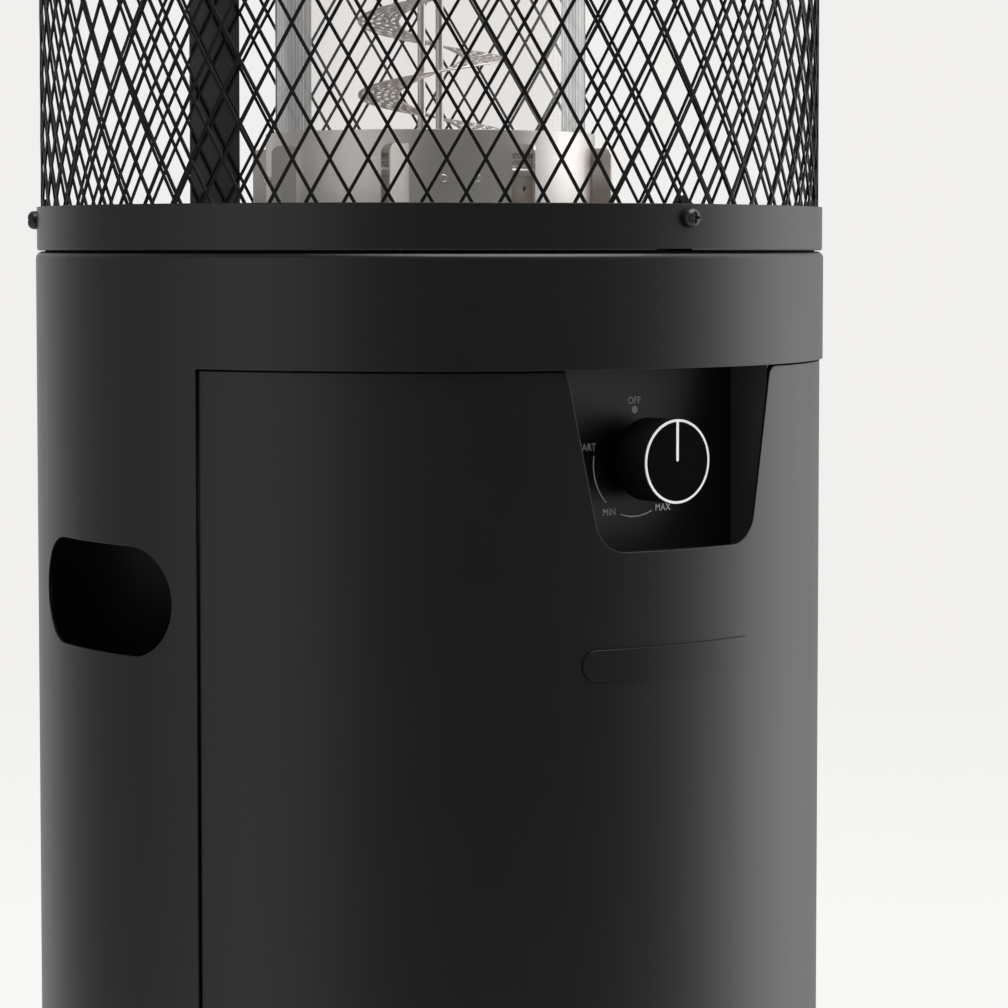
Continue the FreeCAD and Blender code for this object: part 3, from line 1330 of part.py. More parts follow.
def guard_mesh():
    """Diamond mesh rolled into a cylinder, as sectors that meet at the nodes of the mesh."""
    plain = mesh_sector()
    step = 360.0 / MESH_SECTORS
    sectors = [turned(plain, MESH_TURN + step * i) for i in range(MESH_SECTORS)]
    drills = []
    for lower in (True, False):
        z = guard_screw_height(lower)
        drills.append(front_rod(M5_R + MESH_SCREW_CLEARANCE, MESH_R - 10, MESH_R + 10, 0.0, z))
    for angle in GUARD_SCREW_ANGLES:
        cuts = [turned(drill, angle) for drill in drills]
        for i in range(MESH_SECTORS):
            if sectors[i].BoundBox.intersect(cuts[0].BoundBox):
                sectors[i] = largest(sectors[i].cut(cuts))
    return Part.makeCompound(sectors)


def guard_lug(lower):
    """Plate with a weld nut behind the mesh, its pointed tip standing clear of the ring."""
    way = 1.0 if lower else -1.0
    edge = RING_TOP if lower else UPPER_RING_BOTTOM
    half = LUG_WIDTH / 2.0
    tip_half = LUG_TIP_WIDTH / 2.0
    base = edge - way * LUG_DROP
    shoulder = edge - way * LUG_SHOULDER
    depth = MESH_INNER_R * math.cos(math.radians(COLUMN_STEP / 2.0))
    y = -(depth - LUG_THICK)
    points = [
        Vector(-half, y, base),
        Vector(half, y, base),
        Vector(half, y, shoulder),
        Vector(tip_half, y, edge),
        Vector(0, y, edge + way * LUG_TIP_RISE),
        Vector(-tip_half, y, edge),
        Vector(-half, y, shoulder),
        Vector(-half, y, base),
    ]
    plate = Part.Face(Part.makePolygon(points)).extrude(Vector(0, -SHELL_R, 0))
    sheet = ring(depth - LUG_THICK, depth, min(base, edge) - LUG_DROP, max(base, edge) + LUG_DROP)
    plate = sheet.common(plate)
    z = guard_screw_height(lower)
    nut_front = math.sqrt((depth - LUG_THICK) ** 2 - M5_NUT_R ** 2)
    nut = front_rod(M5_NUT_R, nut_front - M5_NUT, nut_front + LUG_THICK / 2.0, 0.0, z)
    hole = front_rod(M5_R + SPINDLE_CLEARANCE, MESH_R - 30, MESH_R + 5, 0.0, z)
    return joined([plate, nut]).cut(hole)


def guard_lugs():
    """Lugs behind both ends of the mesh."""
    lugs = []
    for lower in (True, False):
        lug = guard_lug(lower)
        lugs += [turned(lug, angle) for angle in GUARD_SCREW_ANGLES]
    return Part.makeCompound(lugs)


def guard_screws():
    """Cross-head screws through the guard rings into the lugs."""
    length = RING_R - MESH_INNER_R + LUG_THICK + M5_NUT
    plain = pan_screw(M5_R, length, M5_HEAD_R, GUARD_SCREW_HEAD)
    screws = []
    for lower in (True, False):
        one = plain.copy()
        one.translate(Vector(0, -RING_R, guard_screw_height(lower)))
        screws += [turned(one, angle) for angle in GUARD_SCREW_ANGLES]
    return Part.makeCompound(screws)


def deck_screws():
    """Upright screws through guard ring, gasket, shell flange and deck."""
    screw = pan_screw(M5_R, RING_BOTTOM + SHEET - TOP_DECK_UNDER + M5_NUT, M5_HEAD_R, M5_HEAD)
    screw.rotate(Vector(0, 0, 0), X, -90)
    screw.translate(polar(FLANGE_MIDDLE_R, 0.0, RING_BOTTOM + SHEET))
    nut = hex_prism(M5_NUT_R, TOP_DECK_UNDER - M5_NUT, TOP_DECK_UNDER, polar(FLANGE_MIDDLE_R, 0.0))
    nut = nut.cut(post(M5_R, polar(FLANGE_MIDDLE_R, 0.0), TOP_DECK_UNDER - M5_NUT, TOP_DECK_UNDER))
    solids = []
    for angle in DECK_SCREW_ANGLES:
        solids += [turned(screw, angle), turned(nut, angle)]
    return Part.makeCompound(solids)


def seam_strap():
    """Flat strap over the seam of the mesh at the back."""
    half = math.degrees(STRAP_WIDTH / MESH_R / 2.0)
    left = STRAP_ANGLE - half
    right = STRAP_ANGLE + half
    return arc_wall(MESH_R, MESH_R + STRAP_SHEET, RING_TOP, UPPER_RING_BOTTOM, left, right)


def glass_top_holder():
    """Ring round the top of the glass on four arms from the upper guard ring."""
    low = GLASS_TOP - GLASS_RING_LAP
    parts = [ring(GLASS_RING_R, GLASS_RING_R + GLASS_RING_SHEET, low, ARM_TOP)]
    half = ARM_WIDTH / 2.0
    inner = GLASS_RING_R + GLASS_RING_SHEET / 2.0
    arm = block(-half, half, -POST_CIRCLE_R - SPACER_R, -inner, ARM_TOP - ARM_SHEET, ARM_TOP)
    parts += [turned(arm, angle) for angle in ARM_ANGLES]
    hole = post(CAP_SCREW_R + M5_HOLE_GAP, polar(POST_CIRCLE_R, 0.0), ARM_TOP - ARM_SHEET - 1, ARM_TOP + 1)
    return joined(parts).cut([turned(hole, angle) for angle in ARM_ANGLES])


def glass_gasket_upper():
    """Rope gasket between the glass and its upper ring."""
    low = GLASS_TOP - GLASS_RING_LAP + GLASS_WALL / 2.0
    middle = (GLASS_R + GLASS_RING_R) / 2.0
    radius = COLLAR_RING_GAP / 2.0 - SPINDLE_CLEARANCE
    return Part.makeTorus(middle, radius, Vector(0, 0, low + radius), Z)


def reflector_cap():
    """Lid with a turned-down rim, a flat margin and a low crown."""
    r = CAP_R
    low = CAP_UNDER - CAP_RIM
    under = CAP_UNDER
    top = CAP_UNDER + CAP_SHEET
    bend = CAP_ROUND
    inner_bend = CAP_ROUND - CAP_SHEET
    flat_r = CAP_R - CAP_FLAT
    mid_r = (flat_r + CAP_CROWN_FLAT) / 2.0
    mid_rise = CAP_RISE * 0.7
    cap = revolved([
        (0.0, under + CAP_RISE),
        (CAP_CROWN_FLAT, under + CAP_RISE),
        (mid_r, under + mid_rise, "arc"),
        (flat_r, under),
        (r - bend, under),
        (r - CAP_SHEET - round_corner(inner_bend), under - round_corner(inner_bend), "arc"),
        (r - CAP_SHEET, under - inner_bend),
        (r - CAP_SHEET, low),
        (r, low),
        (r, top - bend),
        (r - round_corner(bend), top - round_corner(bend), "arc"),
        (r - bend, top),
        (flat_r, top),
        (mid_r, top + mid_rise, "arc"),
        (CAP_CROWN_FLAT, top + CAP_RISE),
        (0.0, top + CAP_RISE),
    ])
    hole = post(CAP_SCREW_R + M5_HOLE_GAP, polar(POST_CIRCLE_R, 0.0), under - 1, top + 1)
    return cap.cut([turned(hole, angle) for angle in ARM_ANGLES])


def cap_spacers():
    """Sleeves that hold the cap above the upper guard ring."""
    centre = polar(POST_CIRCLE_R, 0.0)
    sleeve = post(SPACER_R, centre, UPPER_RING_TOP, CAP_UNDER)
    bore = post(CAP_SCREW_R + M5_HOLE_GAP, centre, UPPER_RING_TOP - 1, CAP_UNDER + 1)
    return around(sleeve.cut(bore), ARM_ANGLES)


def cap_screws():
    """Dome-headed screws through cap, spacer, ring and arm, each with its nut."""
    centre = polar(POST_CIRCLE_R, 0.0)
    top = CAP_UNDER + CAP_SHEET
    nut_top = ARM_TOP - ARM_SHEET
    head = post(CAP_HEAD_R, centre, top, top + CAP_HEAD)
    rim = [edge for edge in head.Edges if abs(edge.BoundBox.ZMin - top - CAP_HEAD) < 1e-6]
    head = head.makeFillet(CAP_HEAD * 0.8, rim)
    shank = post(CAP_SCREW_R, centre, nut_top - CAP_NUT - 1.0, top)
    nut = hex_prism(CAP_NUT_R, nut_top - CAP_NUT, nut_top, centre)
    nut = nut.cut(post(CAP_SCREW_R, centre, nut_top - CAP_NUT - 1, nut_top + 1))
    screw = joined([head, shank])
    solids = []
    for angle in ARM_ANGLES:
        solids += [turned(screw, angle), turned(nut, angle)]
    return Part.makeCompound(solids)


NODES = {
    "base_drum": base_drum,
    "bottle_deck": bottle_deck,
    "rubber_feet": rubber_feet,
    "axle_brackets": axle_brackets,
    "wheel_axle": wheel_axle,
    "axle_caps": axle_caps,
    "wheel_hub_left": lambda: wheel_hub(-1),
    "wheel_tyre_left": lambda: wheel_tyre(-1),
    "wheel_hub_right": lambda: wheel_hub(1),
    "wheel_tyre_right": lambda: wheel_tyre(1),
    "bottle_guides": bottle_guides,
    "body_shell": body_shell,
    "top_deck": top_deck,
    "door_jambs": door_jambs,
    "hinge_bracket": hinge_bracket,
    "hinge_pins": hinge_pins,
    "magnet_catches": magnet_catches,
    "door_panel": door_panel,
    "door_stiffener": door_stiffener,
    "badge_plate": badge_plate,
    "control_box": control_box,
    "valve_body": valve_body,
    "valve_plug": valve_plug,
    "valve_spindle": valve_spindle,
    "valve_spring": valve_spring,
    "knob": knob,
    "knob_inlay": knob_inlay,
    "valve_screws": valve_screws,
    "gas_inlet": gas_inlet,
    "supply_pipe": supply_pipe,
    "pilot_pipe": pilot_pipe,
    "thermocouple": thermocouple,
    "tilt_switch": tilt_switch,
    "venturi_tube": venturi_tube,
    "gas_jet": gas_jet,
    "burner_head": burner_head,
    "burner_cap": burner_cap,
    "pilot_burner": pilot_burner,
    "igniter_electrode": igniter_electrode,
    "burner_shroud": burner_shroud,
    "glass_clips": glass_clips,
    "rivets": rivets,
    "glass_gasket_lower": glass_gasket_lower,
    "glass_tube": glass_tube,
    "spiral_baffle": spiral_baffle,
    "spiral_rods": spiral_rods,
    "ring_gasket": ring_gasket,
    "guard_ring_lower": lambda: guard_ring(True),
    "guard_mesh": guard_mesh,
    "guard_lugs": guard_lugs,
    "guard_screws": guard_screws,
    "deck_screws": deck_screws,
    "seam_strap": seam_strap,
    "guard_ring_upper": lambda: guard_ring(False),
    "glass_top_holder": glass_top_holder,
    "glass_gasket_upper": glass_gasket_upper,
    "reflector_cap": reflector_cap,
    "cap_spacers": cap_spacers,
    "cap_screws": cap_screws,
}

os.makedirs("parts", exist_ok=True)
for name, make in NODES.items():
    shape = make()
    verdict = "ok" if shape.isValid() and len(shape.Solids) > 0 else "BROKEN"
    print(name, len(shape.Solids), "solids", round(shape.Volume / 1000.0, 2), "cm3", verdict)
    shape.exportStep(os.path.join("parts", name + ".step"))
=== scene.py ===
import json
import math

import bpy
from mathutils import Matrix, Vector


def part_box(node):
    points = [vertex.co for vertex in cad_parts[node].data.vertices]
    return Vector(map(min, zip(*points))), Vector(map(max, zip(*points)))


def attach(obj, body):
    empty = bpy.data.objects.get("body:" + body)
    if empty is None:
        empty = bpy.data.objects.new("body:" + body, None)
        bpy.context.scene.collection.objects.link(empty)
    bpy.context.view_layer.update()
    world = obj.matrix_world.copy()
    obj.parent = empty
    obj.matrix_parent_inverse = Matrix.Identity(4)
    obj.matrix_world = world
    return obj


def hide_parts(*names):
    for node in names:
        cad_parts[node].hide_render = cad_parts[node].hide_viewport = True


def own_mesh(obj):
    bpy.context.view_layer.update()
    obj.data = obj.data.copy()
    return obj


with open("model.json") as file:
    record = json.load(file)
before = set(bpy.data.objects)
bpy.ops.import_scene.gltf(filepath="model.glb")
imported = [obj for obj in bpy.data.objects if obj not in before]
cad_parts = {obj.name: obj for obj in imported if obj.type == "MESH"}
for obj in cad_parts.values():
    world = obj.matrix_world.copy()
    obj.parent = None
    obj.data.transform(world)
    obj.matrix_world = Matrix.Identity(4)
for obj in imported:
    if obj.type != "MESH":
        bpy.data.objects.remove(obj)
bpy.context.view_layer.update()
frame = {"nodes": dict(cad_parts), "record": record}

NODES = frame["nodes"]
MM = 0.001

# The photograph's view, fitted to the outlines: the camera stands left of the front.
VIEW_ANGLE = -36.5
VIEW_DISTANCE = 1.6127
VIEW_YAW = 1.325
VIEW_HEIGHT = 0.8024
VIEW_PITCH = 3.13
FOCAL_PX = 3144.0
FRAME_PX = 1008.0
CENTRE_PX = (503.5, 420.4)


# Node helpers

class Nodes:
    """Short way to build a node tree."""

    def __init__(self, tree):
        self.tree = tree

    def add(self, kind, values=None, links=None, **settings):
        node = self.tree.nodes.new("ShaderNode" + kind)
        for key, value in settings.items():
            setattr(node, key, value)
        for key, value in (values or {}).items():
            node.inputs[key].default_value = value
        for key, source in (links or {}).items():
            self.tree.links.new(source, node.inputs[key])
        return node

    def math(self, operation, a, b=None, clamp=False):
        node = self.tree.nodes.new("ShaderNodeMath")
        node.operation = operation
        node.use_clamp = clamp
        for i, value in enumerate((a, b)):
            if value is None:
                continue
            if isinstance(value, (int, float)):
                node.inputs[i].default_value = value
            else:
                self.tree.links.new(value, node.inputs[i])
        return node.outputs[0]

    def ramp(self, factor, stops, interpolation="LINEAR"):
        node = self.tree.nodes.new("ShaderNodeValToRGB")
        node.color_ramp.interpolation = interpolation
        points = node.color_ramp.elements
        points[0].position = stops[0][0]
        points[-1].position = stops[-1][0]
        for where, value in stops[1:-1]:
            points.new(where)
        for point, (where, value) in zip(points, stops):
            point.color = (value, value, value, 1) if isinstance(value, (int, float)) else (*value, 1)
        self.tree.links.new(factor, node.inputs[0])
        return node.outputs[0]

    def spread(self, value, low, high):
        """Map a 0 to 1 value to a range."""
        node = self.add("MapRange", {"To Min": low, "To Max": high}, {"Value": value})
        return node.outputs["Result"]

    def noise(self, vector, scale, detail=2.0, rough=0.5):
        node = self.add("TexNoise", {"Scale": scale, "Detail": detail, "Roughness": rough}, {"Vector": vector})
        return node.outputs["Fac"]


def new_material(name):
    mat = bpy.data.materials.new(name)
    mat.use_nodes = True
    mat.node_tree.nodes.clear()
    return mat, Nodes(mat.node_tree)


def scaled(n, vector, scale):
    node = n.add("VectorMath", {1: scale}, {0: vector}, operation="MULTIPLY")
    return node.outputs[0]


def position(n):
    return n.add("TexCoord").outputs["Object"]


def finish_material(mat, n, shader):
    n.add("OutputMaterial", links={"Surface": shader})
    return mat


def painted_light_by_normal(n, tone, axis, low, high, colour):
    """Painted light and shade: another colour where the surface faces along an axis, 0 to 2."""
    faces = n.add("SeparateXYZ", links={0: n.add("TexCoord").outputs["Normal"]}).outputs[axis]
    share = n.ramp(n.math("ABSOLUTE", faces), [(low, 0.0), (high, 1.0)])
    mixed = n.add("MixRGB", links={"Fac": share, 1: tone.outputs[0]})
    mixed.inputs[2].default_value = (*colour, 1)
    return mixed


def rounded_bump(n, height, distance, strength=1.0, edge=0.0004):
    """Bump over a softly rounded edge."""
    bevel = n.add("Bevel", {"Radius": edge}, samples=4)
    bump = n.add("Bump", {"Strength": strength, "Distance": distance},
                 {"Height": height, "Normal": bevel.outputs[0]})
    return bump.outputs[0]


def painted(name, colour, roughness, grain=1500.0, depth=0.00003, edge=0.0004, shine=0.5, painted_light_sides=None):
    """Satin powder coat: fine orange peel, faint cloudiness, soft edges.

    Sides is a lighter colour for upright walls that face left or right: painted light standing in for the light
    that reaches them."""
    mat, n = new_material(name)
    where = position(n)
    peel = n.noise(where, grain, 3.0)
    cloud = n.noise(where, 14.0, 4.0, 0.6)
    speck = n.noise(where, 420.0, 2.0)
    tone = n.add("MixRGB", links={"Fac": cloud}, blend_type="MIX")
    tone.inputs[1].default_value = (*[c * 0.85 for c in colour], 1)
    tone.inputs[2].default_value = (*[c * 1.15 for c in colour], 1)
    # Painted light: walls that face left or right get the lighter sides colour.
    if painted_light_sides:
        tone = painted_light_by_normal(n, tone, 0, 0.75, 0.95, painted_light_sides)
    rough = n.math("ADD", n.spread(cloud, roughness - 0.035, roughness + 0.035), n.spread(speck, -0.02, 0.02))
    normal = rounded_bump(n, peel, depth, 0.6, edge)
    shader = n.add("BsdfPrincipled", {"IOR": 1.5, "Specular IOR Level": shine},
                   {"Base Color": tone.outputs[0], "Roughness": rough, "Normal": normal})
    return finish_material(mat, n, shader.outputs[0])


def plastic(name, colour, roughness, shine=0.5, painted_shade_face=None):
    """Moulded plastic with a fine spark-eroded texture. Face is a darker colour for the front: painted shade,
    while the sides keep the lighter tone.
    """
    mat, n = new_material(name)
    where = position(n)
    cells = n.add("TexVoronoi", {"Scale": 900.0}, {"Vector": where})
    cloud = n.noise(where, 60.0, 3.0)
    tone = n.add("MixRGB", links={"Fac": cloud})
    tone.inputs[1].default_value = (*[c * 0.9 for c in colour], 1)
    tone.inputs[2].default_value = (*[min(c * 1.1, 1.0) for c in colour], 1)
    # Painted shade: the front gets the darker face colour.
    if painted_shade_face:
        tone = painted_light_by_normal(n, tone, 1, 0.6, 0.95, painted_shade_face)
    normal = rounded_bump(n, cells.outputs["Distance"], 0.00004, 0.5, 0.0003)
    rough = n.spread(cloud, roughness - 0.04, roughness + 0.04)
    shader = n.add("BsdfPrincipled", {"IOR": 1.46, "Specular IOR Level": shine},
                   {"Base Color": tone.outputs[0], "Roughness": rough, "Normal": normal})
    return finish_material(mat, n, shader.outputs[0])


def rubber(name, colour):
    """Black rubber with a dusty matte bloom."""
    mat, n = new_material(name)
    where = position(n)
    dust = n.noise(where, 90.0, 5.0, 0.7)
    fine = n.noise(where, 1300.0, 2.0)
    tone = n.add("MixRGB", links={"Fac": n.ramp(dust, [(0.4, 0.0), (0.75, 1.0)])})
    tone.inputs[1].default_value = (*colour, 1)
    tone.inputs[2].default_value = (*[c + 0.03 for c in colour], 1)
    normal = rounded_bump(n, fine, 0.00005, 0.6, 0.0006)
    rough = n.spread(dust, 0.55, 0.8)
    shader = n.add("BsdfPrincipled", {"IOR": 1.5},
                   {"Base Color": tone.outputs[0], "Roughness": rough, "Normal": normal})
    return finish_material(mat, n, shader.outputs[0])


def metal(name, colour, roughness, stretch=(1.0, 1.0, 1.0), grain=300.0):
    """Bare metal with drawn or rolled grain. Stretch squeezes the grain along the axes it runs in."""
    mat, n = new_material(name)
    where = position(n)
    grained = scaled(n, where, stretch)
    lines = n.noise(grained, grain, 3.0, 0.6)
    cloud = n.noise(where, 22.0, 3.0)
    speck = n.noise(where, 1100.0, 3.0, 0.8)
    mottle = n.math("ADD", n.math("MULTIPLY", cloud, 0.5), n.spread(speck, -0.6, 1.1))
    tone = n.add("MixRGB", links={"Fac": mottle})
    tone.inputs[1].default_value = (*colour, 1)
    tone.inputs[2].default_value = (*[c * 0.84 for c in colour], 1)
    rough = n.math("ADD", n.spread(cloud, roughness - 0.05, roughness + 0.05), n.spread(lines, -0.05, 0.05))
    normal = rounded_bump(n, lines, 0.00002, 0.5, 0.0003)
    shader = n.add("BsdfPrincipled", {"Metallic": 1.0},
                   {"Base Color": tone.outputs[0], "Roughness": rough, "Normal": normal})
    return finish_material(mat, n, shader.outputs[0])


def plated(name, colour, roughness):
    """Zinc plate with its crystal flake."""
    mat, n = new_material(name)
    where = position(n)
    flake = n.add("TexVoronoi", {"Scale": 130.0}, {"Vector": where})
    cloud = n.noise(where, 40.0, 3.0)
    tone = n.add("MixRGB", links={"Fac": flake.outputs["Color"]})
    tone.inputs[1].default_value = (*colour, 1)
    tone.inputs[2].default_value = (*[c * 0.8 for c in colour], 1)
    normal = rounded_bump(n, cloud, 0.00003, 0.4, 0.0003)
    rough = n.spread(cloud, roughness - 0.05, roughness + 0.08)
    shader = n.add("BsdfPrincipled", {"Metallic": 1.0},
                   {"Base Color": tone.outputs[0], "Roughness": rough, "Normal": normal})
    return finish_material(mat, n, shader.outputs[0])


def ceramic(name, colour):
    """Glazed ceramic, faintly mottled."""
    mat, n = new_material(name)
    where = position(n)
    mottle = n.noise(where, 200.0, 4.0)
    tone = n.add("MixRGB", links={"Fac": mottle})
    tone.inputs[1].default_value = (*colour, 1)
    tone.inputs[2].default_value = (*[c * 0.88 for c in colour], 1)
    shader = n.add("BsdfPrincipled", {"IOR": 1.55, "Coat Weight": 0.5, "Coat Roughness": 0.08},
                   {"Base Color": tone.outputs[0], "Roughness": n.spread(mottle, 0.25, 0.4)})
    return finish_material(mat, n, shader.outputs[0])


def fibre(name, colour):
    """Woven glass-fibre gasket."""
    mat, n = new_material(name)
    where = position(n)
    weave_a = n.add("TexWave", {"Scale": 260.0, "Distortion": 0.6}, {"Vector": where}, bands_direction="Z")
    weave_b = n.add("TexWave", {"Scale": 260.0, "Distortion": 0.6}, {"Vector": where},
                    bands_direction="DIAGONAL")
    weave = n.math("MULTIPLY", weave_a.outputs["Fac"], weave_b.outputs["Fac"])
    tone = n.add("MixRGB", links={"Fac": weave})
    tone.inputs[1].default_value = (*[c * 0.55 for c in colour], 1)
    tone.inputs[2].default_value = (*colour, 1)
    bump = n.add("Bump", {"Strength": 0.7, "Distance": 0.0002}, {"Height": weave})
    shader = n.add("BsdfPrincipled", {"Roughness": 0.9},
                   {"Base Color": tone.outputs[0], "Normal": bump.outputs[0]})
    return finish_material(mat, n, shader.outputs[0])


def print_ink(name, colour):
    """Screen-printed ink: slightly uneven cover."""
    mat, n = new_material(name)
    where = position(n)
    cover = n.noise(where, 1800.0, 3.0)
    tone = n.add("MixRGB", links={"Fac": cover})
    tone.inputs[1].default_value = (*[c * 0.88 for c in colour], 1)
    tone.inputs[2].default_value = (*colour, 1)
    shader = n.add("BsdfPrincipled", {"IOR": 1.45},
                   {"Base Color": tone.outputs[0], "Roughness": n.spread(cover, 0.45, 0.6)})
    return finish_material(mat, n, shader.outputs[0])


GLASS_R = 79.0 * MM
GLASS_SKIN = 2.0 * MM
# Direction toward the bright side of the studio, where the glass band is painted differently
PAINTED_LIGHT_SIDE = (0.8, -0.6, 0.0)
# Where the hiding wall band starts, as a share of the radius, on the side away from the bright studio light and
# on the side toward it; the difference between them is painted light
WALL_START = (0.766, 0.844)
# Painted light and shade of the wall band from its start to the outline: bright lines, then a dark rim
PAINTED_WALL_TONES = [
    (0.0, 0.68), (0.2, 0.78), (0.45, 0.66), (0.62, 0.62), (0.78, 0.98), (0.93, 1.0), (0.965, 0.5), (1.0, 0.35),
]


def glass_material(name):
    """Clear tube. Toward the bright side of the studio its edge band starts nearer the outline, is a little
    darker and lets more through: painted light.

    Near both outlines a grey band in fine upright streaks hides what is behind it: painted reflection and shade
    standing in for the glass edge."""
    mat, n = new_material(name)
    where = position(n)
    parts = n.add("SeparateXYZ", links={0: where})
    radius = n.math("SQRT", n.math("ADD", n.math("MULTIPLY", parts.outputs[0], parts.outputs[0]),
                                   n.math("MULTIPLY", parts.outputs[1], parts.outputs[1])))
    outer = n.math("GREATER_THAN", radius, GLASS_R - GLASS_SKIN)
    front = n.math("SUBTRACT", 1.0, n.add("NewGeometry").outputs["Backfacing"])
    first = n.math("MULTIPLY", outer, front)
    level = n.math("SUBTRACT", 1.0, n.add("LayerWeight", {"Blend": 0.5}).outputs["Facing"])
    across = n.math("SQRT", n.math("SUBTRACT", 1.0, n.math("MULTIPLY", level, level)))
    aside = n.add("VectorMath", {1: PAINTED_LIGHT_SIDE}, {0: n.add("TexCoord").outputs["Normal"]},
                  operation="DOT_PRODUCT").outputs["Value"]
    # Painted light: share toward the bright side of the studio, which shifts the band's start, tone and cover.
    painted_light_side = n.ramp(n.math("ADD", aside, 0.5), [(0.2, 0.0), (0.8, 1.0)])
    start = n.spread(painted_light_side, *WALL_START)
    inside = n.math("DIVIDE", n.math("SUBTRACT", across, start), n.math("SUBTRACT", 1.0, start), clamp=True)
    band = n.ramp(inside, [(0.0, 0.0), (0.03, 1.0)])
    lines = n.add("TexNoise", {"Scale": 120.0, "Detail": 2.0, "Roughness": 0.8}, {"W": across},
                  noise_dimensions="1D")
    streak = n.add("MapRange", {"From Min": 0.35, "From Max": 0.65, "To Min": 0.5, "To Max": 1.5},
                   {"Value": lines.outputs["Fac"]}).outputs["Result"]
    # Painted highlights and shade across the band.
    tone = n.math("MULTIPLY", n.ramp(inside, PAINTED_WALL_TONES), streak)
    shade = n.math("MULTIPLY", tone, n.spread(painted_light_side, 1.0, 0.84), clamp=True)
    clear = n.add("BsdfTransparent", {"Color": (0.982, 0.976, 0.974, 1)})
    veil = n.add("BsdfDiffuse", {"Color": (0.95, 0.95, 0.95, 1)})
    haze = n.ramp(across, [(0.0, 0.06), (0.5, 0.08), (0.76, 0.15), (1.0, 0.15)])
    veiled = n.math("MULTIPLY", haze, first)
    body = n.add("MixShader", links={0: veiled, 1: clear.outputs[0], 2: veil.outputs[0]})
    grey = n.add("BsdfDiffuse", links={"Color": shade})
    hidden = n.math("MULTIPLY", n.math("MULTIPLY", band, n.spread(painted_light_side, 0.95, 0.88)), first)
    wall = n.add("MixShader", links={0: hidden, 1: body.outputs[0], 2: grey.outputs[0]})
    sheen = n.add("BsdfGlossy", {"Color": (1, 1, 1, 1), "Roughness": 0.05})
    fresnel = n.add("Fresnel", {"IOR": 1.35})
    gloss = n.math("MULTIPLY", fresnel.outputs[0], first)
    mixed = n.add("MixShader", links={0: gloss, 1: wall.outputs[0], 2: sheen.outputs[0]})
    return finish_material(mat, n, mixed.outputs[0])


BLACK = (0.0058, 0.0058, 0.006)
MATERIALS = {
    "body_black": painted("coat_body", BLACK, 0.32, edge=0.0007),
    # Recess side walls are painted far lighter than the panel: painted light on those walls.
    "panel_black": painted("coat_panel", (0.004, 0.004, 0.0042), 0.4, painted_light_sides=(0.085, 0.085, 0.086)),
    "badge_black": painted("coat_badge", (0.0055, 0.0055, 0.0058), 0.29, grain=2500.0, depth=0.00001,
                           edge=0.0003),
    "mesh_black": painted("coat_mesh", (0.0085, 0.0085, 0.0087), 0.42, edge=0.0003, shine=0.14),
    "strap_black": painted("coat_strap", (0.012, 0.012, 0.0122), 0.4, shine=0.55),
    # Knob front is painted darker than its sides: painted shade on the front face.
    "knob_black": plastic("plastic_knob", (0.012, 0.012, 0.012), 0.34, shine=0.03, painted_shade_face=(0.002, 0.002, 0.0021)),
    "white_plastic": plastic("plastic_white", (0.94, 0.94, 0.93), 0.35),
    "black_plastic": plastic("plastic_black", (0.02, 0.02, 0.02), 0.5),
    "rubber": rubber("rubber_black", (0.018, 0.018, 0.018)),
    "tyre": rubber("rubber_tyre", (0.025, 0.025, 0.025)),
    "black_zinc": painted("zinc_black", (0.012, 0.012, 0.013), 0.3, grain=900.0, depth=0.00001, edge=0.0002),
    "zinc_steel": plated("steel_zinc", (0.62, 0.63, 0.65), 0.38),
    "stainless": metal("steel_satin", (0.95, 0.905, 0.87), 0.36, (1.0, 1.0, 14.0), 90.0),
    "aluminium": metal("alu_tube", (0.78, 0.78, 0.79), 0.3, (6.0, 6.0, 1.0), 120.0),
    "brass": metal("brass_turned", (0.72, 0.52, 0.24), 0.28, (1.0, 9.0, 1.0), 160.0),
    "copper": metal("copper_lead", (0.74, 0.40, 0.26), 0.32),
    "ceramic": ceramic("ceramic_white", (0.86, 0.85, 0.8)),
    "fibre": fibre("fibre_rope", (0.62, 0.6, 0.54)),
    "glass": glass_material("glass_tube"),
}
SLOTS = {row["node"]: row["material_slot"] for row in frame["record"]["subparts"]}
SLOTS["seam_strap"] = "strap_black"
for node, obj in NODES.items():
    obj.data.materials.clear()
    obj.data.materials.append(MATERIALS[SLOTS[node]])


# New pieces

def mesh_object(name, verts, faces, material, smooth=True):
    """New piece on the cabinet."""
    mesh = bpy.data.meshes.new(name)
    mesh.from_pydata(verts, [], faces)
    mesh.validate()
    obj = bpy.data.objects.new(name, mesh)
    bpy.context.scene.collection.objects.link(obj)
    mesh.materials.append(material)
    if smooth:
        mesh.shade_smooth()
    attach(obj, "cabinet")
    return obj


# Perforated spiral
SPIRAL_IN, SPIRAL_OUT, SPIRAL_PITCH, SPIRAL_TURNS = 0.016, 0.037, 0.0374, 10
SPIRAL_START, SPIRAL_LOW = -26.4, 0.8535
SPIRAL_SHEET, SPIRAL_MARGIN = 0.0009, 0.0012
SLOTS_PER_TURN, SLOT_ROWS = 22, 5
CELL_U, CELL_V = 6, 5


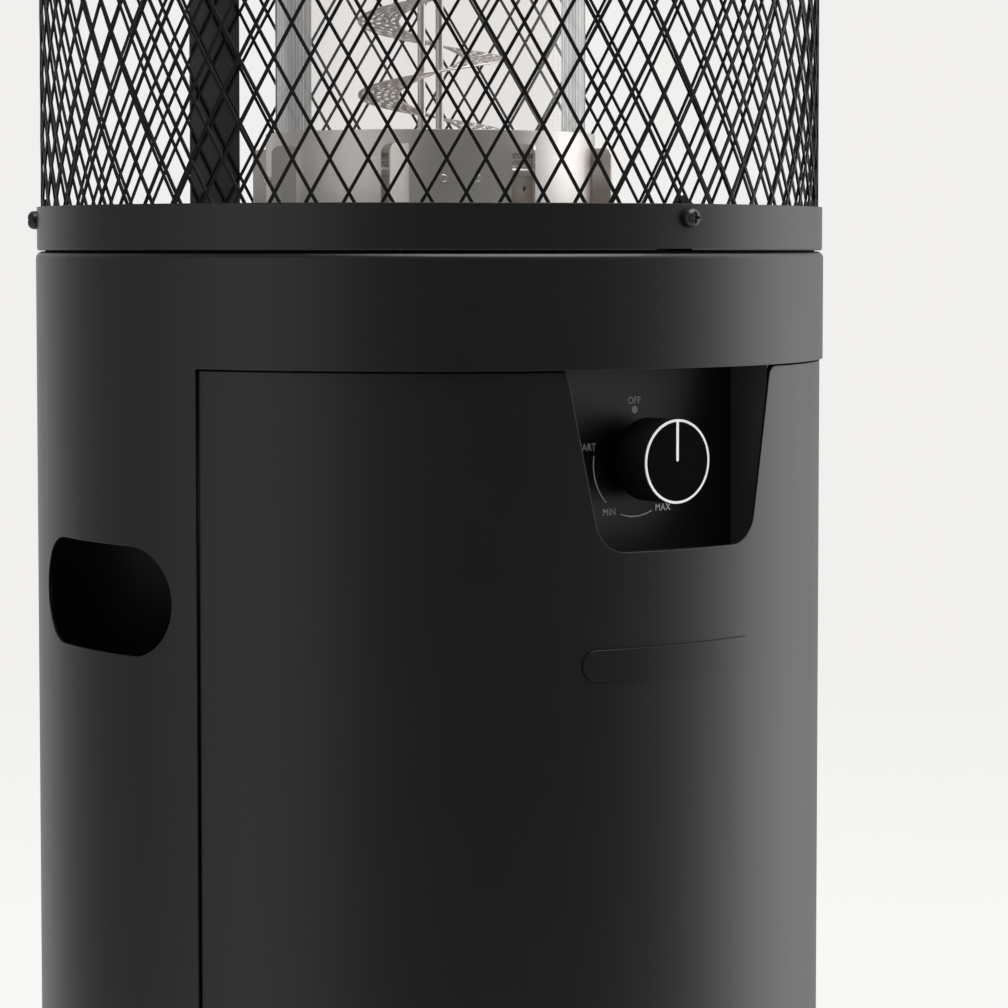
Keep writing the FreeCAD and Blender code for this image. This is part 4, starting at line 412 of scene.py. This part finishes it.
def spiral_ribbon():
    """Helical ribbon with rows of punched oblong slots."""
    rows = SLOT_ROWS * CELL_V
    columns = SPIRAL_TURNS * SLOTS_PER_TURN * CELL_U
    first = SPIRAL_IN + SPIRAL_MARGIN
    span = SPIRAL_OUT - SPIRAL_MARGIN - first
    radii = [SPIRAL_IN] + [first + span * j / rows for j in range(rows + 1)] + [SPIRAL_OUT]
    verts = []
    for i in range(columns + 1):
        share = i / columns
        turn = math.radians(SPIRAL_START + 360.0 * SPIRAL_TURNS * share)
        z = SPIRAL_LOW + SPIRAL_PITCH * SPIRAL_TURNS * share
        for r in radii:
            verts.append((r * math.sin(turn), -r * math.cos(turn), z))
    wide = len(radii)
    faces = []
    for i in range(columns):
        for j in range(wide - 1):
            row, inner = divmod(j - 1, CELL_V)
            shift = CELL_U // 2 if row % 2 else 0
            along = (i + shift) % CELL_U
            hole = 0 < j < wide - 2 and 1 <= inner <= CELL_V - 2 and 1 <= along <= CELL_U - 2
            if hole:
                continue
            a = i * wide + j
            faces.append((a, a + 1, a + wide + 1, a + wide))
    obj = mesh_object("spiral_ribbon", verts, faces, MATERIALS["stainless"])
    thick = obj.modifiers.new("sheet", "SOLIDIFY")
    thick.thickness = SPIRAL_SHEET
    thick.offset = 0.0
    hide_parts("spiral_baffle")


spiral_ribbon()


# Return spring behind the knob
SPRING_TURNS, SPRING_SIDES, KNOB_TRAVEL = 5, 10, 4.0 * MM
SPRING_WIRE, SPRING_COIL, SPRING_STEPS = 0.3 * MM, 2.5 * MM, 32


def return_spring():
    """Coil of the return spring behind the knob."""
    low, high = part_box("valve_spring")
    middle = (low + high) / 2
    length = high.y - low.y - 2 * SPRING_WIRE
    steps = SPRING_TURNS * SPRING_STEPS
    verts = []
    for i in range(steps + 1):
        turn = 2 * math.pi * SPRING_TURNS * i / steps
        y = low.y + SPRING_WIRE + length * i / steps
        for k in range(SPRING_SIDES):
            a = 2 * math.pi * k / SPRING_SIDES
            r = SPRING_COIL + SPRING_WIRE * math.cos(a)
            x, z = middle.x + r * math.cos(turn), middle.z + r * math.sin(turn)
            verts.append((x, y + SPRING_WIRE * math.sin(a), z))
    faces = []
    for i in range(steps):
        for k in range(SPRING_SIDES):
            a, b = i * SPRING_SIDES + k, i * SPRING_SIDES + (k + 1) % SPRING_SIDES
            faces.append((a, b, b + SPRING_SIDES, a + SPRING_SIDES))
    faces.append(tuple(reversed(range(SPRING_SIDES))))
    faces.append(tuple(steps * SPRING_SIDES + k for k in range(SPRING_SIDES)))
    slot = SLOTS["valve_spring"]
    coil = mesh_object("return_spring", verts, faces, MATERIALS[slot])
    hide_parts("valve_spring")
    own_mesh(coil)


return_spring()


# Dial print on the panel behind the knob
PANEL_Y = -0.1615
PRINT_Y = PANEL_Y - 0.00006
KNOB_Z = 0.7034
WORD_HEIGHT = 0.0034
DIAL_STEPS = 40
ARC_WIDTH, ARC_TAPER = 0.0007, 0.2
DIAL_X, DIAL_Z = 0.0003, KNOB_Z - 0.0021
INK = print_ink("ink_grey", (0.66, 0.66, 0.66))
INK_BRIGHT = print_ink("ink_white", (0.98, 0.98, 0.98))


def dial_point(radius, turn):
    """Place on the dial: a radius and an angle counter-clockwise from the top."""
    a = math.radians(turn)
    return DIAL_X - radius * math.sin(a), DIAL_Z + radius * math.cos(a)


def dial_word(text, x, z, ink, name):
    """Printed control word."""
    curve = bpy.data.curves.new(name, "FONT")
    curve.body = text
    curve.size = WORD_HEIGHT / 0.72
    curve.align_x = "CENTER"
    curve.align_y = "CENTER"
    curve.bevel_depth = 0.00009
    curve.bevel_resolution = 0
    curve.space_character = 1.06
    curve.resolution_u = 6
    temp = bpy.data.objects.new(name, curve)
    bpy.context.scene.collection.objects.link(temp)
    bpy.context.view_layer.update()
    mesh = bpy.data.meshes.new_from_object(temp)
    bpy.data.objects.remove(temp)
    mesh.transform(Matrix.Diagonal((0.92, 1, 0.3, 1)))
    mesh.transform(Matrix.Rotation(math.radians(90), 4, "X"))
    mesh.transform(Matrix.Translation((x, PANEL_Y - 0.00003, z)))
    mesh.materials.clear()
    mesh.materials.append(ink)
    obj = bpy.data.objects.new(name, mesh)
    bpy.context.scene.collection.objects.link(obj)
    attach(obj, "cabinet")


def dial_arc(start, end, radius, ink, name):
    """Printed line between two angles, a little thinner at its ends."""
    verts = []
    for i in range(DIAL_STEPS + 1):
        turn = start + (end - start) * i / DIAL_STEPS
        half = ARC_WIDTH / 2 * (1.0 - ARC_TAPER * abs(2.0 * i / DIAL_STEPS - 1.0))
        for r in (radius - half, radius + half):
            x, z = dial_point(r, turn)
            verts.append((x, PRINT_Y, z))
    faces = [(2 * i, 2 * i + 2, 2 * i + 3, 2 * i + 1) for i in range(DIAL_STEPS)]
    mesh_object(name, verts, faces, ink, smooth=False)


def dial_dot(radius, turn, size, ink, name):
    """Printed round mark."""
    cx, cz = dial_point(radius, turn)
    verts = [(cx, PRINT_Y, cz)]
    for i in range(DIAL_STEPS):
        a = 2 * math.pi * i / DIAL_STEPS
        verts.append((cx + size * math.cos(a), PRINT_Y, cz + size * math.sin(a)))
    faces = [(0, 1 + (i + 1) % DIAL_STEPS, 1 + i) for i in range(DIAL_STEPS)]
    mesh_object(name, verts, faces, ink, smooth=False)


dial_word("OFF", 0.0, KNOB_Z + 0.0272, INK, "print_off")
dial_dot(0.0250, 0.0, 0.0018, INK, "print_dot")
dial_word("START", -0.0300, KNOB_Z + 0.0060, INK, "print_start")
dial_word("MIN", -0.0152, KNOB_Z - 0.0251, INK, "print_min")
dial_word("MAX", 0.0180, KNOB_Z - 0.0243, INK_BRIGHT, "print_max")
dial_arc(81.0, 136.5, 0.0252, INK, "print_arc_start")
dial_arc(160.5, 205.0, 0.0256, INK_BRIGHT, "print_arc_flame")


# Floor, backdrop and light
KEY_BEARING, KEY_RISE, KEY_GLOW = 50.0, 70.0, 6.0


def studio():
    """Soft light all round from the world, brighter and darker by bearing, with one broad lamp above."""
    world = bpy.data.worlds.new("studio")
    bpy.context.scene.world = world
    world.use_nodes = True
    world.node_tree.nodes.clear()
    n = Nodes(world.node_tree)
    way = n.add("TexCoord").outputs["Generated"]
    parts = n.add("SeparateXYZ", links={0: way})
    heading = n.math("ARCTAN2", parts.outputs[0], n.math("MULTIPLY", parts.outputs[1], -1.0))
    turned = n.math("ADD", heading, math.radians(-VIEW_ANGLE))
    share = n.math("WRAP", n.math("DIVIDE", turned, 2 * math.pi), 1.0)
    wrap = share.node
    wrap.inputs[1].default_value = 0.5
    wrap.inputs[2].default_value = -0.5
    spot = n.math("ADD", share, 0.5)
    glow = n.ramp(spot, [(at / 360.0 + 0.5, value / 2.0) for at, value in LIGHT_ROUND], "EASE")
    doubled = n.add("MixRGB", {"Fac": 1.0}, {1: glow}, blend_type="MULTIPLY")
    doubled.inputs[2].default_value = (2.0, 1.99, 1.97, 1)
    overhead = n.ramp(spot, [(at / 360.0 + 0.5, value / 2.0) for at, value in LIGHT_ABOVE], "EASE")
    above = n.add("MixRGB", {"Fac": 1.0}, {1: overhead}, blend_type="MULTIPLY")
    above.inputs[2].default_value = (2.0, 2.0, 2.0, 1)
    up = n.ramp(parts.outputs[2], [(0.35, 0.0), (0.62, 1.0)])
    dome = n.add("MixRGB", links={"Fac": up, 1: doubled.outputs[0], 2: above.outputs[0]})
    toward = math.radians(VIEW_ANGLE + KEY_BEARING)
    rise = math.radians(KEY_RISE)
    key_way = (math.sin(toward) * math.cos(rise), -math.cos(toward) * math.cos(rise), math.sin(rise))
    near = n.add("VectorMath", {1: key_way}, {0: way}, operation="DOT_PRODUCT").outputs["Value"]
    key = n.add("MixRGB", {2: (KEY_GLOW, KEY_GLOW, KEY_GLOW * 0.98, 1)},
                {"Fac": n.ramp(near, [(0.83, 0.0), (0.95, 1.0)], "EASE"), 1: dome.outputs[0]})
    path = n.add("LightPath")
    seen = n.math("MAXIMUM", path.outputs["Is Camera Ray"], path.outputs["Is Transmission Ray"])
    low = n.ramp(n.math("ADD", parts.outputs[2], 1.0),
                 [(0.79, (0.94, 0.935, 0.925)), (0.87, (0.88, 0.87, 0.86))])
    shade = n.add("MixRGB", links={"Fac": seen, 1: key.outputs[0], 2: low})
    back = n.add("Background", {"Strength": 1.0}, {"Color": shade.outputs[0]})
    n.add("OutputWorld", links={"Surface": back.outputs[0]})


# Brightness of the studio's walls by bearing from the camera, positive to its right
LIGHT_ROUND = [
    (-180, 0.65), (-145, 0.62), (-114, 0.3), (-99, 0.29), (-88, 0.32), (-77, 0.48), (-54, 0.78), (-35, 0.63),
    (-16, 0.23), (5, 0.13), (35, 0.14), (50, 0.17), (60, 0.23), (70, 0.35), (83, 0.85), (104, 1.95),
    (118, 1.8), (132, 1.25), (150, 0.62), (165, 0.47), (180, 0.55),
]
# The same for the part above them
LIGHT_ABOVE = [
    (-180, 0.5), (-120, 0.4), (-90, 0.3), (-60, 0.2), (-20, 0.18), (20, 0.2), (60, 0.35), (85, 0.85),
    (104, 1.9), (125, 1.75), (150, 0.8), (180, 0.5),
]
studio()


FLOOR_R = 1.6


def floor():
    """Pale floor that fades into the backdrop."""
    mesh = bpy.data.meshes.new("floor")
    steps = 96
    verts = [(0, 0, 0)]
    for i in range(steps):
        a = 2 * math.pi * i / steps
        verts.append((FLOOR_R * math.cos(a), FLOOR_R * math.sin(a), 0))
    mesh.from_pydata(verts, [], [(0, 1 + i, 1 + (i + 1) % steps) for i in range(steps)])
    obj = bpy.data.objects.new("floor", mesh)
    bpy.context.scene.collection.objects.link(obj)
    mat, n = new_material("floor_pale")
    where = position(n)
    haze = n.noise(where, 3.0, 3.0)
    tone = n.add("MixRGB", links={"Fac": haze})
    tone.inputs[1].default_value = (0.60, 0.59, 0.58, 1)
    tone.inputs[2].default_value = (0.64, 0.63, 0.62, 1)
    shader = n.add("BsdfPrincipled", {"Roughness": 0.7}, {"Base Color": tone.outputs[0]})
    away = n.add("VectorMath", links={0: where}, operation="LENGTH").outputs["Value"]
    fade = n.ramp(n.math("DIVIDE", away, FLOOR_R), [(0.3, 0.0), (0.95, 1.0)], "EASE")
    clear = n.add("BsdfTransparent")
    both = n.add("MixShader", links={0: fade, 1: shader.outputs[0], 2: clear.outputs[0]})
    mesh.materials.append(finish_material(mat, n, both.outputs[0]))


floor()


def camera():
    """Camera at the photograph's viewing angle."""
    data = bpy.data.cameras.new("camera")
    data.sensor_width = 36.0
    data.lens = FOCAL_PX / FRAME_PX * 36.0
    data.shift_x = (FRAME_PX / 2 - CENTRE_PX[0]) / FRAME_PX
    data.shift_y = (CENTRE_PX[1] - FRAME_PX / 2) / FRAME_PX
    data.clip_start, data.clip_end = 0.05, 60.0
    obj = bpy.data.objects.new("camera", data)
    bpy.context.scene.collection.objects.link(obj)
    a = math.radians(VIEW_ANGLE)
    back = Vector((math.sin(a), -math.cos(a), 0))
    right = Vector((math.cos(a), math.sin(a), 0))
    obj.location = back * VIEW_DISTANCE + Vector((0, 0, VIEW_HEIGHT))
    yaw, tilt = math.radians(VIEW_YAW), math.radians(VIEW_PITCH)
    ahead = right * math.sin(yaw) - back * math.cos(yaw)
    look = ahead * math.cos(tilt) - Vector((0, 0, math.sin(tilt)))
    obj.rotation_mode = "QUATERNION"
    obj.rotation_quaternion = look.to_track_quat("-Z", "Y")
    bpy.context.scene.camera = obj


camera()
bpy.context.scene.view_settings.view_transform = "Standard"
